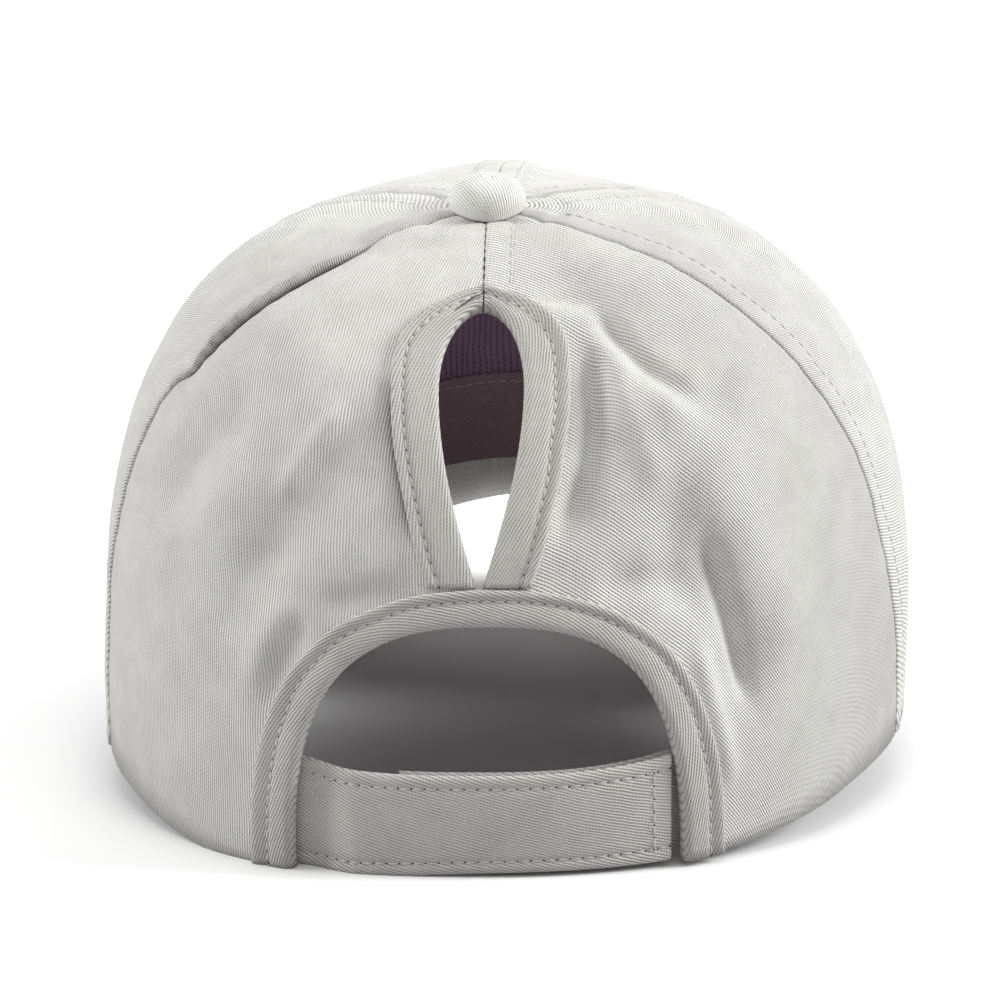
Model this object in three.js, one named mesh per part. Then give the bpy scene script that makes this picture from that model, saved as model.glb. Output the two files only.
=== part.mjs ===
// Ponytail baseball cap: six cloth gores, a curved brim, and at the back a teardrop slit for a
// ponytail above an arched opening that a strap in two halves closes.
// Lengths are in millimetres and angles in degrees. In the cap's own frame +Y is forward, +X is
// the wearer's right, +Z is up, and the rim at the sides lies near Z = 0.

import * as THREE from 'three';

const { degToRad, lerp, smoothstep, euclideanModulo } = THREE.MathUtils;

// Crown
const HALF_WIDTH = 87.5;
const REAR_LENGTH = 93;
const FRONT_LENGTH = 97;
const HEIGHT = 115;
const RIM_SQUARENESS = 2.15;
const TOP_SHIFT_LEFT = 3.2;
const TOP_SHIFT_BACK = 2.2;
const TOP_HOLE_RADIUS = 2.5;
const SWELL_POWER = 0.7;
const PROFILE_LENGTH = 1.4 * HEIGHT;

// Cloth
const CLOTH = 1.6;
const TAPE_CLOTH = 1;
const GAP = 0.3;

// Button
const BUTTON_DIAMETER = 16.4;
const BUTTON_HEIGHT = 6.5;
const BUTTON_EDGE = 1.2;
const BUTTON_ROUNDNESS = 0.75;

// Arched opening, with sizes measured along the cloth
const ARCH_OPENING_WIDTH = 82;
const ARCH_OPENING_HEIGHT = 52.2;
const ARCH_TAPE_AT_TOP = 7.6;
const ARCH_TAPE_AT_LEGS = 9.4;
const ARCH_SHIFT_RIGHT = 1.2;
const ARCH_SQUARENESS = 2.5;
const ARCH_TAPE_SQUARENESS = 2.25;

// Slit, with sizes measured along the cloth
const SLIT_LENGTH = 62;
const SLIT_WIDTH = 17.4;
const SLIT_TAPE = 9.8;
const REAR_SEAM_LEFT_AT_ARCH = 0.5;
const REAR_SEAM_LEFT_AT_TOP = 0;

// Strap
const STRAP_HEIGHT = 21.5;
const STRAP_CLOTH = 1.6;
const STRAP_DEPTH = 0.6;
const STRAP_TUCK = 8;
const STRAP_TUCK_GAP = 0.5;
const STRAP_BEND = 12;
const INNER_STRAP_LENGTH = 58;
const PATCH_LENGTH = 44;
const PATCH_CLOTH = 0.8;
const PATCH_MARGIN = 2;

// Inside
const SWEATBAND_HEIGHT = 24;
const SWEATBAND_CLOTH = 1.2;
const SWEATBAND_LIFT = 1;
const LINING_CLOTH = 1;
const LINING_GAP = 0.6;
const LINING_MARGIN = 2;
const LINING_FROM_SHARE = 0.02;
const LINING_TO_SHARE = 0.9;

// Brim
const BRIM_LENGTH = 70;
const BRIM_FLARE = 2.5;
const BRIM_THICKNESS = 3;
const BRIM_SPAN = 68;
const BRIM_SLOPE_MIDDLE = 30;
const BRIM_SLOPE_SIDES = 56;
const BRIM_SQUARENESS = 2.3;
const BRIM_SLOPE_POWER = 1.5;

// How far the cloth hem is pressed flat where the cap stands on it
const HEM_PRESS = 1;

// The crown's profile every 30 degrees, counterclockwise from above with 0 at the back.
// rim is the height of the rim as a share of HEIGHT, out how far the whole profile reaches as a
// share, square the roundness exponent of the profile, and wide the share that its middle swells.
const SECTIONS = [
  { at: -150, rim: 0.08, out: 1.0, square: 2.3, wide: 1.02 },
  { at: -120, rim: 0.02, out: 1.0, square: 2.4, wide: 1.05 },
  { at: -90, rim: 0.01, out: 1.0, square: 2.85, wide: 1.0 },
  { at: -60, rim: 0.0, out: 1.01, square: 2.95, wide: 1.01 },
  { at: -30, rim: 0.0, out: 1.04, square: 2.2, wide: 1.01 },
  { at: 0, rim: 0.03, out: 1.0, square: 1.9, wide: 1.0 },
  { at: 30, rim: 0.02, out: 0.98, square: 2.05, wide: 1.0 },
  { at: 60, rim: 0.02, out: 0.97, square: 2.7, wide: 1.0 },
  { at: 90, rim: 0.01, out: 0.995, square: 2.9, wide: 1.01 },
  { at: 120, rim: 0.02, out: 1.0, square: 2.6, wide: 1.02 },
  { at: 150, rim: 0.08, out: 1.0, square: 2.3, wide: 1.01 },
  { at: 180, rim: 0.14, out: 1.0, square: 2.5, wide: 1.0 },
];
const SECTION_STEP = 30;

// Where each straight seam meets the rim and the top.
const SEAMS = {
  rearLeft: { foot: -73, top: -55 },
  frontLeft: { foot: -125, top: -115 },
  middleLeft: { foot: -180, top: -180 },
  middleRight: { foot: 180, top: 180 },
  frontRight: { foot: 131, top: 121 },
  rearRight: { foot: 79, top: 61 },
};

// Folds and dents as straight strokes over the crown. Places are given as the angle and the
// share of the way up, width and depth as shares of HEIGHT, with dents negative.
const FOLDS = [
  { name: 'left seam crease', fromAt: -64, fromUp: 0.5, toAt: -58, toUp: 0.86, width: 0.04, depth: -0.013 },
  { name: 'left ridge', fromAt: -29, fromUp: 0.6, toAt: -41, toUp: 0.37, width: 0.08, depth: 0.012 },
  { name: 'left valley', fromAt: -27, fromUp: 0.49, toAt: -32, toUp: 0.36, width: 0.06, depth: -0.013 },
  { name: 'high valley', fromAt: 31, fromUp: 0.77, toAt: 49, toUp: 0.54, width: 0.055, depth: -0.016 },
  { name: 'high ridge', fromAt: 24, fromUp: 0.73, toAt: 40, toUp: 0.56, width: 0.06, depth: 0.012 },
  { name: 'middle ridge', fromAt: 40, fromUp: 0.56, toAt: 36, toUp: 0.42, width: 0.07, depth: 0.014 },
  { name: 'slit valley', fromAt: 26, fromUp: 0.67, toAt: 15, toUp: 0.45, width: 0.05, depth: -0.014 },
  { name: 'low valley', fromAt: 33, fromUp: 0.42, toAt: 39, toUp: 0.18, width: 0.06, depth: -0.02 },
  { name: 'low ridge', fromAt: 42, fromUp: 0.4, toAt: 47, toUp: 0.2, width: 0.06, depth: 0.012 },
];

// The slit's outline from its foot to its top: along is the share of SLIT_LENGTH, half the share
// of half of SLIT_WIDTH, and tape the share of SLIT_TAPE.
const SLIT_OUTLINE = [
  { along: 0.0, half: 0.08, tape: 1.0 },
  { along: 0.1, half: 0.29, tape: 1.0 },
  { along: 0.22, half: 0.53, tape: 1.0 },
  { along: 0.34, half: 0.74, tape: 1.0 },
  { along: 0.46, half: 0.89, tape: 1.0 },
  { along: 0.58, half: 0.97, tape: 1.0 },
  { along: 0.68, half: 1.0, tape: 1.0 },
  { along: 0.78, half: 0.94, tape: 1.0 },
  { along: 0.87, half: 0.79, tape: 0.95 },
  { along: 0.94, half: 0.5, tape: 0.8 },
  { along: 1.0, half: 0.02, tape: 0.55 },
];

// Grid steps
const PANEL_COLUMNS = 12;
const PANEL_ROWS = 16;
const REAR_COLUMNS = 14;
const ARCH_STEPS = 24;
const SLIT_STEPS = 12;
const SEAM_ROWS = 3;
const BAND_STEPS = 48;
const LINING_ROWS = 12;
const LINING_COLUMNS = 16;
const STRAP_STEPS = 20;
const BRIM_COLUMNS = 28;
const BRIM_ROWS = 7;
const BUTTON_SIDES = 20;
const BUTTON_RINGS = 5;

const range = (count) => Array.from({ length: count }, (_, index) => index);
const steps = (count) => range(count + 1).map((index) => index / count);

// Points on the crown

const signedPower = (value, power) => Math.sign(value) * Math.abs(value) ** power;

// The row of SECTIONS at any angle, by a smooth curve through the table that closes on itself.
function section(at) {
  const place = euclideanModulo(at - SECTIONS[0].at, 360) / SECTION_STEP;
  const index = Math.floor(place);
  const share = place - index;
  const rows = [-1, 0, 1, 2].map((step) => SECTIONS[euclideanModulo(index + step, SECTIONS.length)]);
  const blend = (column) => {
    const [a, b, c, d] = rows.map((row) => row[column]);
    const curve = (2 * a - 5 * b + 4 * c - d) * share + (3 * b - a - 3 * c + d) * share ** 2;
    return b + 0.5 * share * (c - a + curve);
  };
  return { rim: blend('rim'), out: blend('out'), square: blend('square'), wide: blend('wide') };
}

// A point of the smooth crown: at is the angle from the back, up goes from 0 at the rim to 1.
function crown(at, up) {
  const { rim, out, square, wide } = section(at);
  const turn = degToRad(at);
  const length = Math.cos(turn) > 0 ? REAR_LENGTH : FRONT_LENGTH;
  const rimX = out * HALF_WIDTH * signedPower(Math.sin(turn), 2 / RIM_SQUARENESS);
  const rimY = -out * length * signedPower(Math.cos(turn), 2 / RIM_SQUARENESS);
  const lift = (up * Math.PI) / 2;
  const rise = Math.sin(lift) ** (2 / square);
  const swell = 1 + (wide - 1) * Math.sin(Math.PI * rise) ** SWELL_POWER;
  const reach = Math.max(Math.cos(lift), 0) ** (2 / square) * swell;
  return new THREE.Vector3(
    lerp(-TOP_SHIFT_LEFT, rimX, reach),
    lerp(-TOP_SHIFT_BACK, rimY, reach),
    HEIGHT * lerp(rim, 1, rise),
  );
}

// How far the folds lift the cloth at a point, in millimetres.
function relief(at, up) {
  const flat = (angle, share) => new THREE.Vector2(
    degToRad(angle) * HALF_WIDTH * Math.cos((share * Math.PI) / 2),
    share * PROFILE_LENGTH,
  );
  const here = flat(at, up);
  return FOLDS.reduce((sum, fold) => {
    const start = flat(fold.fromAt, fold.fromUp);
    const stroke = flat(fold.toAt, fold.toUp).sub(start);
    const share = here.clone().sub(start).dot(stroke) / stroke.lengthSq();
    const nearest = start.addScaledVector(stroke, Math.min(Math.max(share, 0), 1));
    const away = here.distanceTo(nearest) / (fold.width * HEIGHT);
    return sum + fold.depth * HEIGHT * Math.exp(-away * away);
  }, 0);
}

// A point depth millimetres inside the folded cloth's outer face.
function cloth(at, up, depth) {
  const step = { at: 0.5, up: 0.004 };
  const round = crown(at + step.at, up).sub(crown(at - step.at, up));
  const low = Math.max(up - step.up, 0);
  const rise = crown(at, Math.min(up + step.up, 1)).sub(crown(at, low));
  const outward = round.cross(rise).normalize();
  return crown(at, up).addScaledVector(outward, relief(at, up) - depth);
}

// Finds the place that lies a given length along a curve.
function ruler(curve, from, to, steps = 90) {
  const marks = [{ place: from, length: 0 }];
  let last = curve(from);
  for (let i = 1; i <= steps; i += 1) {
    const place = lerp(from, to, i / steps);
    const point = curve(place);
    marks.push({ place, length: marks[i - 1].length + point.distanceTo(last) });
    last = point;
  }
  return (length) => {
    const next = marks.findIndex((mark) => mark.length >= length);
    if (next === -1) return to;
    if (next === 0) return from;
    const [a, b] = [marks[next - 1], marks[next]];
    return lerp(a.place, b.place, (length - a.length) / (b.length - a.length));
  };
}

// The back of the cap laid flat: side is millimetres to the right, high millimetres above the rim.
const upTheBack = ruler((up) => crown(0, up), 0, 1, 200);
const upTheBackLength = steps(200).reduce((sum, up, i, list) => (
  i === 0 ? 0 : sum + crown(0, up).distanceTo(crown(0, list[i - 1]))), 0);
const BACK_REACH = 85;

function onBack({ side, high }) {
  const up = upTheBack(Math.max(high, 0));
  const round = ruler((at) => crown(at, up), 0, Math.sign(side) * BACK_REACH);
  return { at: side === 0 ? 0 : round(Math.abs(side)), up };
}

// The share of the way up where a profile comes to the hole under the button.
const topOfProfile = (at) => 1 - ruler((down) => crown(at, 1 - down), 0, 0.2, 60)(TOP_HOLE_RADIUS);

// The share of the way up that lies a given length above the rim.
const upFromRim = (at, length) => ruler((up) => crown(at, up), 0, 0.6, 60)(length);

// Half a seam's gap as an angle, at a place on the crown.
function halfGap(at, up) {
  return GAP / 2 / crown(at + 0.5, up).distanceTo(crown(at - 0.5, up));
}

// Closed solids from points

// A solid from its points and triangles, turned so that its faces point out.
function solid(points, triangles) {
  const volume = triangles.reduce((sum, [a, b, c]) => (
    sum + points[a].dot(points[b].clone().cross(points[c]))), 0);
  const faces = volume < 0 ? triangles.map(([a, b, c]) => [a, c, b]) : triangles;
  const geometry = new THREE.BufferGeometry();
  geometry.setFromPoints(points);
  geometry.setIndex(faces.flat());
  return geometry;
}

// Two triangles that fill four corners, split along the shorter diagonal.
function split(points, [a, b, c, d]) {
  const short = points[a].distanceTo(points[c]) <= points[b].distanceTo(points[d]);
  return short ? [[a, b, c], [a, c, d]] : [[b, c, d], [b, d, a]];
}

// A sheet between two grids of points, each a list of rows.
function sheet(outer, inner) {
  const rows = outer.length;
  const columns = outer[0].length;
  const points = [...outer.flat(), ...inner.flat()];
  const triangles = [];
  const index = (layer, row, column) => (layer * rows + row) * columns + column;
  const quad = (...corners) => triangles.push(...split(points, corners));
  for (let row = 0; row < rows - 1; row += 1) {
    for (let column = 0; column < columns - 1; column += 1) {
      const corners = [[row, column], [row, column + 1], [row + 1, column + 1], [row + 1, column]];
      quad(...corners.map(([r, c]) => index(0, r, c)));
      quad(...corners.reverse().map(([r, c]) => index(1, r, c)));
    }
  }
  const border = [
    ...range(columns - 1).map((c) => [0, c]),
    ...range(rows - 1).map((r) => [r, columns - 1]),
    ...range(columns - 1).map((c) => [rows - 1, columns - 1 - c]),
    ...range(rows - 1).map((r) => [rows - 1 - r, 0]),
  ];
  border.forEach((here, i) => {
    const next = border[(i + 1) % border.length];
    quad(index(0, ...next), index(0, ...here), index(1, ...here), index(1, ...next));
  });
  return solid(points, triangles);
}

// A bar swept through rings of points, with flat ends shaped like the section.
function sweep(rings, shape) {
  const size = shape.length;
  const points = rings.flat();
  const triangles = [];
  for (let ring = 0; ring < rings.length - 1; ring += 1) {
    range(size).forEach((k) => {
      const next = (k + 1) % size;
      const [a, b] = [ring * size + k, (ring + 1) * size + k];
      const [c, d] = [(ring + 1) * size + next, ring * size + next];
      triangles.push(...split(points, [a, b, c, d]));
    });
  }
  const turned = THREE.ShapeUtils.area(shape);
  const last = (rings.length - 1) * size;
  THREE.ShapeUtils.triangulateShape(shape, []).forEach((face) => {
    const area = THREE.ShapeUtils.area(face.map((k) => shape[k]));
    const [a, b, c] = area * turned > 0 ? face : [face[0], face[2], face[1]];
    triangles.push([a, b, c], [last + a, last + c, last + b]);
  });
  return solid(points, triangles);
}

// A round solid through rings of points from a lower to an upper middle point.
function spun(lower, rings, upper) {
  const size = rings[0].length;
  const points = [lower, ...rings.flat(), upper];
  const triangles = [];
  const index = (ring, k) => 1 + ring * size + (k % size);
  range(size).forEach((k) => {
    triangles.push([0, index(0, k + 1), index(0, k)]);
    triangles.push([points.length - 1, index(rings.length - 1, k), index(rings.length - 1, k + 1)]);
    for (let ring = 0; ring < rings.length - 1; ring += 1) {
      const [a, b] = [index(ring, k), index(ring, k + 1)];
      const [c, d] = [index(ring + 1, k + 1), index(ring + 1, k)];
      triangles.push([a, b, c], [a, c, d]);
    }
  });
  return solid(points, triangles);
}

// Grids of cloth points at two depths, from a function that gives the angle and the share up.
function clothSheet(place, rows, columns, depth, thickness) {
  const grid = (level) => steps(rows).map((v) => steps(columns).map((s) => {
    const { at, up } = place(v, s);
    return cloth(at, up, level(s));
  }));
  const outer = typeof depth === 'function' ? depth : () => depth;
  return sheet(grid(outer), grid((s) => outer(s) + thickness));
}

// Gores

const seamAt = (seam, up) => lerp(seam.foot, seam.top, up);

function gore(first, second) {
  return clothSheet((v, s) => {
    const from = seamAt(first, v);
    const to = seamAt(second, v);
    const turn = Math.sign(to - from);
    const middle = lerp(from, to, s);
    const up = v * topOfProfile(middle);
    const at = lerp(from + turn * halfGap(from, up), to - turn * halfGap(to, up), s);
    return { at, up };
  }, PANEL_ROWS, PANEL_COLUMNS, 0, CLOTH);
}

// The back's openings, laid flat

const ARCH_TOP = ARCH_OPENING_HEIGHT + ARCH_TAPE_AT_TOP;
const SLIT_FOOT = ARCH_TOP + GAP;
const TAPE_WEB = TAPE_CLOTH + GAP;

// The arch tape's width at an angle round it.
const tapeWidth = (angle) => (
  lerp(ARCH_TAPE_AT_LEGS, ARCH_TAPE_AT_TOP, Math.sin(degToRad(angle)) ** 2));

// The arch's edge at an angle round it, out from the opening by a share of the tape's width.
function archPoint(angle, share) {
  const half = ARCH_OPENING_WIDTH / 2 + share * ARCH_TAPE_AT_LEGS;
  const tall = ARCH_OPENING_HEIGHT + share * ARCH_TAPE_AT_TOP;
  const power = 2 / lerp(ARCH_SQUARENESS, ARCH_TAPE_SQUARENESS, share);
  const turn = degToRad(angle);
  return {
    side: half * signedPower(Math.cos(turn), power) + ARCH_SHIFT_RIGHT,
    high: tall * Math.abs(Math.sin(turn)) ** power,
  };
}

// How far left the rear seam runs at a height.
function rearSeam(high) {
  const share = (high - SLIT_FOOT) / (upTheBackLength - SLIT_FOOT);
  return -lerp(REAR_SEAM_LEFT_AT_ARCH, REAR_SEAM_LEFT_AT_TOP, share);
}

function slitRow(along) {
  const next = Math.max(SLIT_OUTLINE.findIndex((row) => row.along >= along), 1);
  const [a, b] = [SLIT_OUTLINE[next - 1], SLIT_OUTLINE[next]];
  const share = (along - a.along) / (b.along - a.along);
  return { half: lerp(a.half, b.half, share), tape: lerp(a.tape, b.tape, share) };
}

// Stations along the slit lie closer together towards its round top.
const STATION_POWER = 1.5;
const slitStations = steps(SLIT_STEPS).map((share) => 1 - (1 - share) ** STATION_POWER);

// A point of the slit's tape on one side, out from the slit's edge by a distance in the cloth.
// The tape starts level at the foot and turns upright by topTurn at the top.
function slitPoint(along, out, turn, topTurn = 1) {
  const edge = (share) => new THREE.Vector2(
    Math.max((slitRow(share).half * SLIT_WIDTH) / 2, GAP / 2),
    SLIT_FOOT + share * SLIT_LENGTH,
  );
  const reach = 0.03;
  const levelUntil = 0.15;
  const uprightFrom = 0.88;
  const tangent = edge(Math.min(along + reach, 1)).sub(edge(Math.max(along - reach, 0)));
  const normal = new THREE.Vector2(tangent.y, -tangent.x).normalize();
  normal.lerp(new THREE.Vector2(1, 0), 1 - smoothstep(along, 0, levelUntil));
  normal.lerp(new THREE.Vector2(1 - topTurn, topTurn), smoothstep(along, uprightFrom, 1)).normalize();
  const point = edge(along).addScaledVector(normal, out);
  return { side: rearSeam(point.y) + turn * point.x, high: point.y };
}

// One back gore. Each row runs from the opening's edge to the edge of the tape over it, and on to
// the side seam, and the rows climb the arch, then the slit, then the rear seam.
function rearGore(turn) {
  const border = turn > 0 ? SEAMS.rearRight : SEAMS.rearLeft;
  const foot = { edge: slitPoint(0, TAPE_WEB, turn), tape: slitPoint(0, SLIT_TAPE, turn) };
  const outside = (point, mark) => turn * (point.side - mark.side) > 1;
  const arch = range(ARCH_STEPS).map((index) => {
    const angle = (turn > 0 ? index : ARCH_STEPS - index) * (180 / ARCH_STEPS);
    return { edge: archPoint(angle, TAPE_WEB / tapeWidth(angle)), tape: archPoint(angle, 1) };
  }).filter(({ edge }) => outside(edge, foot.edge));
  arch.push({ edge: { side: foot.edge.side, high: ARCH_OPENING_HEIGHT + TAPE_WEB }, tape: foot.tape });
  const beside = arch.filter(({ tape }) => outside(tape, foot.tape)).length;
  const corner = arch[beside - 1].tape;
  arch.slice(beside).forEach((row, i, list) => {
    const share = (i + 1) / (list.length + 1);
    row.tape = {
      side: lerp(corner.side, foot.tape.side, share),
      high: lerp(corner.high, foot.tape.high, share),
    };
  });
  const slit = slitStations.map((along) => ({
    edge: slitPoint(along, TAPE_WEB, turn),
    tape: slitPoint(along, SLIT_TAPE * slitRow(along).tape, turn, along < 1 ? 1 : 0.6),
  }));
  const seamStart = slit[slit.length - 1].tape.high;
  const seam = steps(SEAM_ROWS).slice(1).map((share) => {
    const high = lerp(seamStart, upTheBackLength - TOP_HOLE_RADIUS, share);
    return { edge: { side: rearSeam(high) + (turn * GAP) / 2, high } };
  });
  const rows = [...arch, ...slit, ...seam];
  let walked = 0;
  const walks = rows.map(({ edge }, i) => {
    const last = i === 0 ? edge : rows[i - 1].edge;
    walked += Math.hypot(edge.side - last.side, edge.high - last.high);
    return walked;
  });
  const lines = rows.map(({ edge, tape }, i) => {
    const start = onBack(edge);
    const share = (walks[i] / walked + start.up / topOfProfile(start.at)) / 2;
    const seamLine = seamAt(border, share);
    const up = share * topOfProfile(seamLine);
    const end = { at: seamLine - turn * halfGap(seamLine, up), up };
    const along = (from, part) => ({ at: lerp(from.at, end.at, part), up: lerp(from.up, end.up, part) });
    const second = tape ? onBack(tape) : along(start, 1 / (REAR_COLUMNS + 1));
    return [start, ...steps(REAR_COLUMNS).map((part) => along(second, part))];
  });
  return clothSheet(
    (v, s) => lines[Math.round(v * (lines.length - 1))][Math.round(s * (REAR_COLUMNS + 1))],
    lines.length - 1, REAR_COLUMNS + 1, 0, CLOTH,
  );
}

// Tape folded over a cloth edge: out is the distance from the opening, deep the depth.
function tapeShape(width) {
  const [skin, back] = [-GAP, CLOTH + GAP];
  return [
    [0, skin - TAPE_CLOTH], [width, skin - TAPE_CLOTH], [width, skin], [TAPE_CLOTH, skin],
    [TAPE_CLOTH, back], [width, back], [width, back + TAPE_CLOTH], [0, back + TAPE_CLOTH],
  ].map(([out, deep]) => new THREE.Vector2(out, deep));
}

function tapeRing(shape, place) {
  return shape.map(({ x: out, y: deep }) => {
    const { at, up } = onBack(place(out));
    return cloth(at, up, deep);
  });
}

function archBinding() {
  const rings = steps(ARCH_STEPS).map((share) => {
    const angle = 180 * share;
    const width = tapeWidth(angle);
    return tapeRing(tapeShape(width), (out) => archPoint(angle, out / width));
  });
  return sweep(rings, tapeShape(ARCH_TAPE_AT_TOP));
}

function slitBinding(turn) {
  const rings = slitStations.map((along) => {
    const width = SLIT_TAPE * slitRow(along).tape;
    return tapeRing(tapeShape(width), (out) => slitPoint(along, out, turn));
  });
  return sweep(rings, tapeShape(SLIT_TAPE));
}

// Strap

// The side of the arched opening at a height, with turn -1 for the left leg and 1 for the right.
const openingEdge = (turn, high) => {
  const share = (1 - (high / ARCH_OPENING_HEIGHT) ** ARCH_SQUARENESS) ** (1 / ARCH_SQUARENESS);
  return (turn * ARCH_OPENING_WIDTH * share) / 2 + ARCH_SHIFT_RIGHT;
};
const LEG_LEFT = openingEdge(-1, STRAP_HEIGHT);
const LEG_RIGHT = openingEdge(1, STRAP_HEIGHT);
const BEHIND_TAPE = CLOTH + GAP + TAPE_CLOTH + STRAP_TUCK_GAP;
const OUTER_STRAP_BACK = STRAP_DEPTH + STRAP_CLOTH;
const HOOK_DEPTH = OUTER_STRAP_BACK + GAP;
const LOOP_DEPTH = HOOK_DEPTH + PATCH_CLOTH + GAP;
const INNER_STRAP_DEPTH = LOOP_DEPTH + PATCH_CLOTH + GAP;

// A flat band across the arch between two places, with its depth given along its length.
function band(from, to, low, high, depth, thickness) {
  return clothSheet((v, s) => onBack({ side: lerp(from, to, s), high: lerp(low, high, v) }),
    2, STRAP_STEPS, (s) => depth(lerp(from, to, s)), thickness);
}

function outerStrap() {
  const bend = (side) => smoothstep(side, LEG_LEFT, LEG_LEFT + STRAP_BEND);
  const depth = (side) => lerp(BEHIND_TAPE, STRAP_DEPTH, bend(side));
  return band(LEG_LEFT - STRAP_TUCK, LEG_RIGHT - GAP, 0, STRAP_HEIGHT, depth, STRAP_CLOTH);
}

function innerStrap() {
  const bend = (side) => smoothstep(side, LEG_RIGHT, LEG_RIGHT + STRAP_TUCK);
  const depth = (side) => lerp(INNER_STRAP_DEPTH, BEHIND_TAPE, bend(side));
  const from = LEG_RIGHT - INNER_STRAP_LENGTH;
  return band(from, LEG_RIGHT + STRAP_TUCK, 0, STRAP_HEIGHT, depth, STRAP_CLOTH);
}

function patch(depth) {
  const to = LEG_RIGHT - PATCH_MARGIN;
  return band(to - PATCH_LENGTH, to, PATCH_MARGIN, STRAP_HEIGHT - PATCH_MARGIN, () => depth, PATCH_CLOTH);
}

// Inside

function sweatband() {
  const start = onBack(archPoint(0, 1)).at;
  const end = 360 + onBack(archPoint(180, 1)).at;
  return clothSheet((v, s) => {
    const at = lerp(start, end, s);
    return { at, up: upFromRim(at, lerp(SWEATBAND_LIFT, SWEATBAND_HEIGHT, v)) };
  }, 3, BAND_STEPS, CLOTH + LINING_GAP + LINING_CLOTH + LINING_GAP, SWEATBAND_CLOTH);
}

function frontLining() {
  return clothSheet((v, s) => {
    const up = lerp(LINING_FROM_SHARE, LINING_TO_SHARE, v);
    const right = seamAt(SEAMS.frontRight, up);
    const left = 360 + seamAt(SEAMS.frontLeft, up);
    const from = right + (2 * LINING_MARGIN * halfGap(right, up)) / GAP;
    const to = left - (2 * LINING_MARGIN * halfGap(left, up)) / GAP;
    return { at: lerp(from, to, s), up };
  }, LINING_ROWS, LINING_COLUMNS, CLOTH + LINING_GAP, LINING_CLOTH);
}

// Brim

// Its outer edge in plan, from one end at -1 to the other at 1.
function brimEdge(share) {
  const end = crown(180 - BRIM_SPAN, 0);
  const turn = (share * Math.PI) / 2;
  return new THREE.Vector2(
    (end.x + BRIM_FLARE) * signedPower(Math.sin(turn), 2 / BRIM_SQUARENESS),
    lerp(end.y, FRONT_LENGTH + BRIM_LENGTH, Math.max(Math.cos(turn), 0) ** (2 / BRIM_SQUARENESS)),
  );
}

function brim() {
  const grid = (over) => steps(BRIM_ROWS).map((out) => steps(BRIM_COLUMNS).map((s) => {
    const share = lerp(-1, 1, s);
    const at = 180 - share * BRIM_SPAN;
    const slope = degToRad(lerp(BRIM_SLOPE_MIDDLE, BRIM_SLOPE_SIDES, Math.abs(share) ** BRIM_SLOPE_POWER));
    const raise = over / Math.cos(slope);
    const foot = cloth(at, 0, -GAP);
    const sewn = cloth(at, upFromRim(at, raise), -GAP);
    const edge = brimEdge(share);
    const run = Math.hypot(edge.x - foot.x, edge.y - foot.y);
    return new THREE.Vector3(
      lerp(sewn.x, edge.x, out),
      lerp(sewn.y, edge.y, out),
      lerp(sewn.z, foot.z - run * Math.tan(slope) + raise, out),
    );
  }));
  return sheet(grid(BRIM_THICKNESS), grid(0));
}

// Button

function topButton() {
  const radius = BUTTON_DIAMETER / 2;
  const upAt = (at, distance) => 1 - ruler((down) => crown(at, 1 - down), 0, 0.4, 60)(distance);
  const underside = (at, distance) => cloth(at, upAt(at, distance), -GAP);
  const angles = range(BUTTON_SIDES).map((k) => (360 * k) / BUTTON_SIDES);
  const below = [0.5, 1].map((share) => angles.map((at) => underside(at, share * radius)));
  const rim = below[1];
  const middle = crown(0, 1).setZ(HEIGHT + GAP);
  const dome = steps(BUTTON_RINGS).slice(0, -1).map((share) => rim.map((point) => {
    const turn = (share * Math.PI) / 2;
    const raised = point.clone().lerp(middle, 1 - Math.cos(turn) ** BUTTON_ROUNDNESS);
    raised.z = lerp(point.z + BUTTON_EDGE, middle.z + BUTTON_HEIGHT, Math.sin(turn));
    return raised;
  }));
  return spun(middle, [...below, ...dome], middle.clone().setZ(middle.z + BUTTON_HEIGHT));
}

// Materials

const cottonTwill = { color: 0xd6d5d0, roughness: 0.92, metalness: 0 };
const bindingTwill = { color: 0xcbc9c4, roughness: 0.92, metalness: 0 };
const darkBand = { color: 0x4b3a3e, roughness: 0.9, metalness: 0 };
const purpleLining = { color: 0x4a3c50, roughness: 0.95, metalness: 0 };
const brimTwill = { color: 0xc9c5be, roughness: 0.92, metalness: 0 };
const fastener = { color: 0x3a3738, roughness: 1, metalness: 0 };

const PIECES = [
  { name: 'rear_left_panel', look: cottonTwill, shape: rearGore(-1) },
  { name: 'rear_right_panel', look: cottonTwill, shape: rearGore(1) },
  { name: 'side_left_panel', look: cottonTwill, shape: gore(SEAMS.rearLeft, SEAMS.frontLeft) },
  { name: 'side_right_panel', look: cottonTwill, shape: gore(SEAMS.rearRight, SEAMS.frontRight) },
  { name: 'front_left_panel', look: cottonTwill, shape: gore(SEAMS.frontLeft, SEAMS.middleLeft) },
  { name: 'front_right_panel', look: cottonTwill, shape: gore(SEAMS.frontRight, SEAMS.middleRight) },
  { name: 'top_button', look: cottonTwill, shape: topButton() },
  { name: 'slit_binding_left', look: bindingTwill, shape: slitBinding(-1) },
  { name: 'slit_binding_right', look: bindingTwill, shape: slitBinding(1) },
  { name: 'arch_binding', look: bindingTwill, shape: archBinding() },
  { name: 'outer_strap', look: bindingTwill, shape: outerStrap() },
  { name: 'inner_strap', look: bindingTwill, shape: innerStrap() },
  { name: 'hook_patch', look: fastener, shape: patch(HOOK_DEPTH) },
  { name: 'loop_patch', look: fastener, shape: patch(LOOP_DEPTH) },
  { name: 'sweatband', look: darkBand, shape: sweatband() },
  { name: 'front_lining', look: purpleLining, shape: frontLining() },
  { name: 'brim', look: brimTwill, shape: brim() },
];

// Rest: the cap pitches back until its brim and its rear hem stand on one plane.

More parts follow.
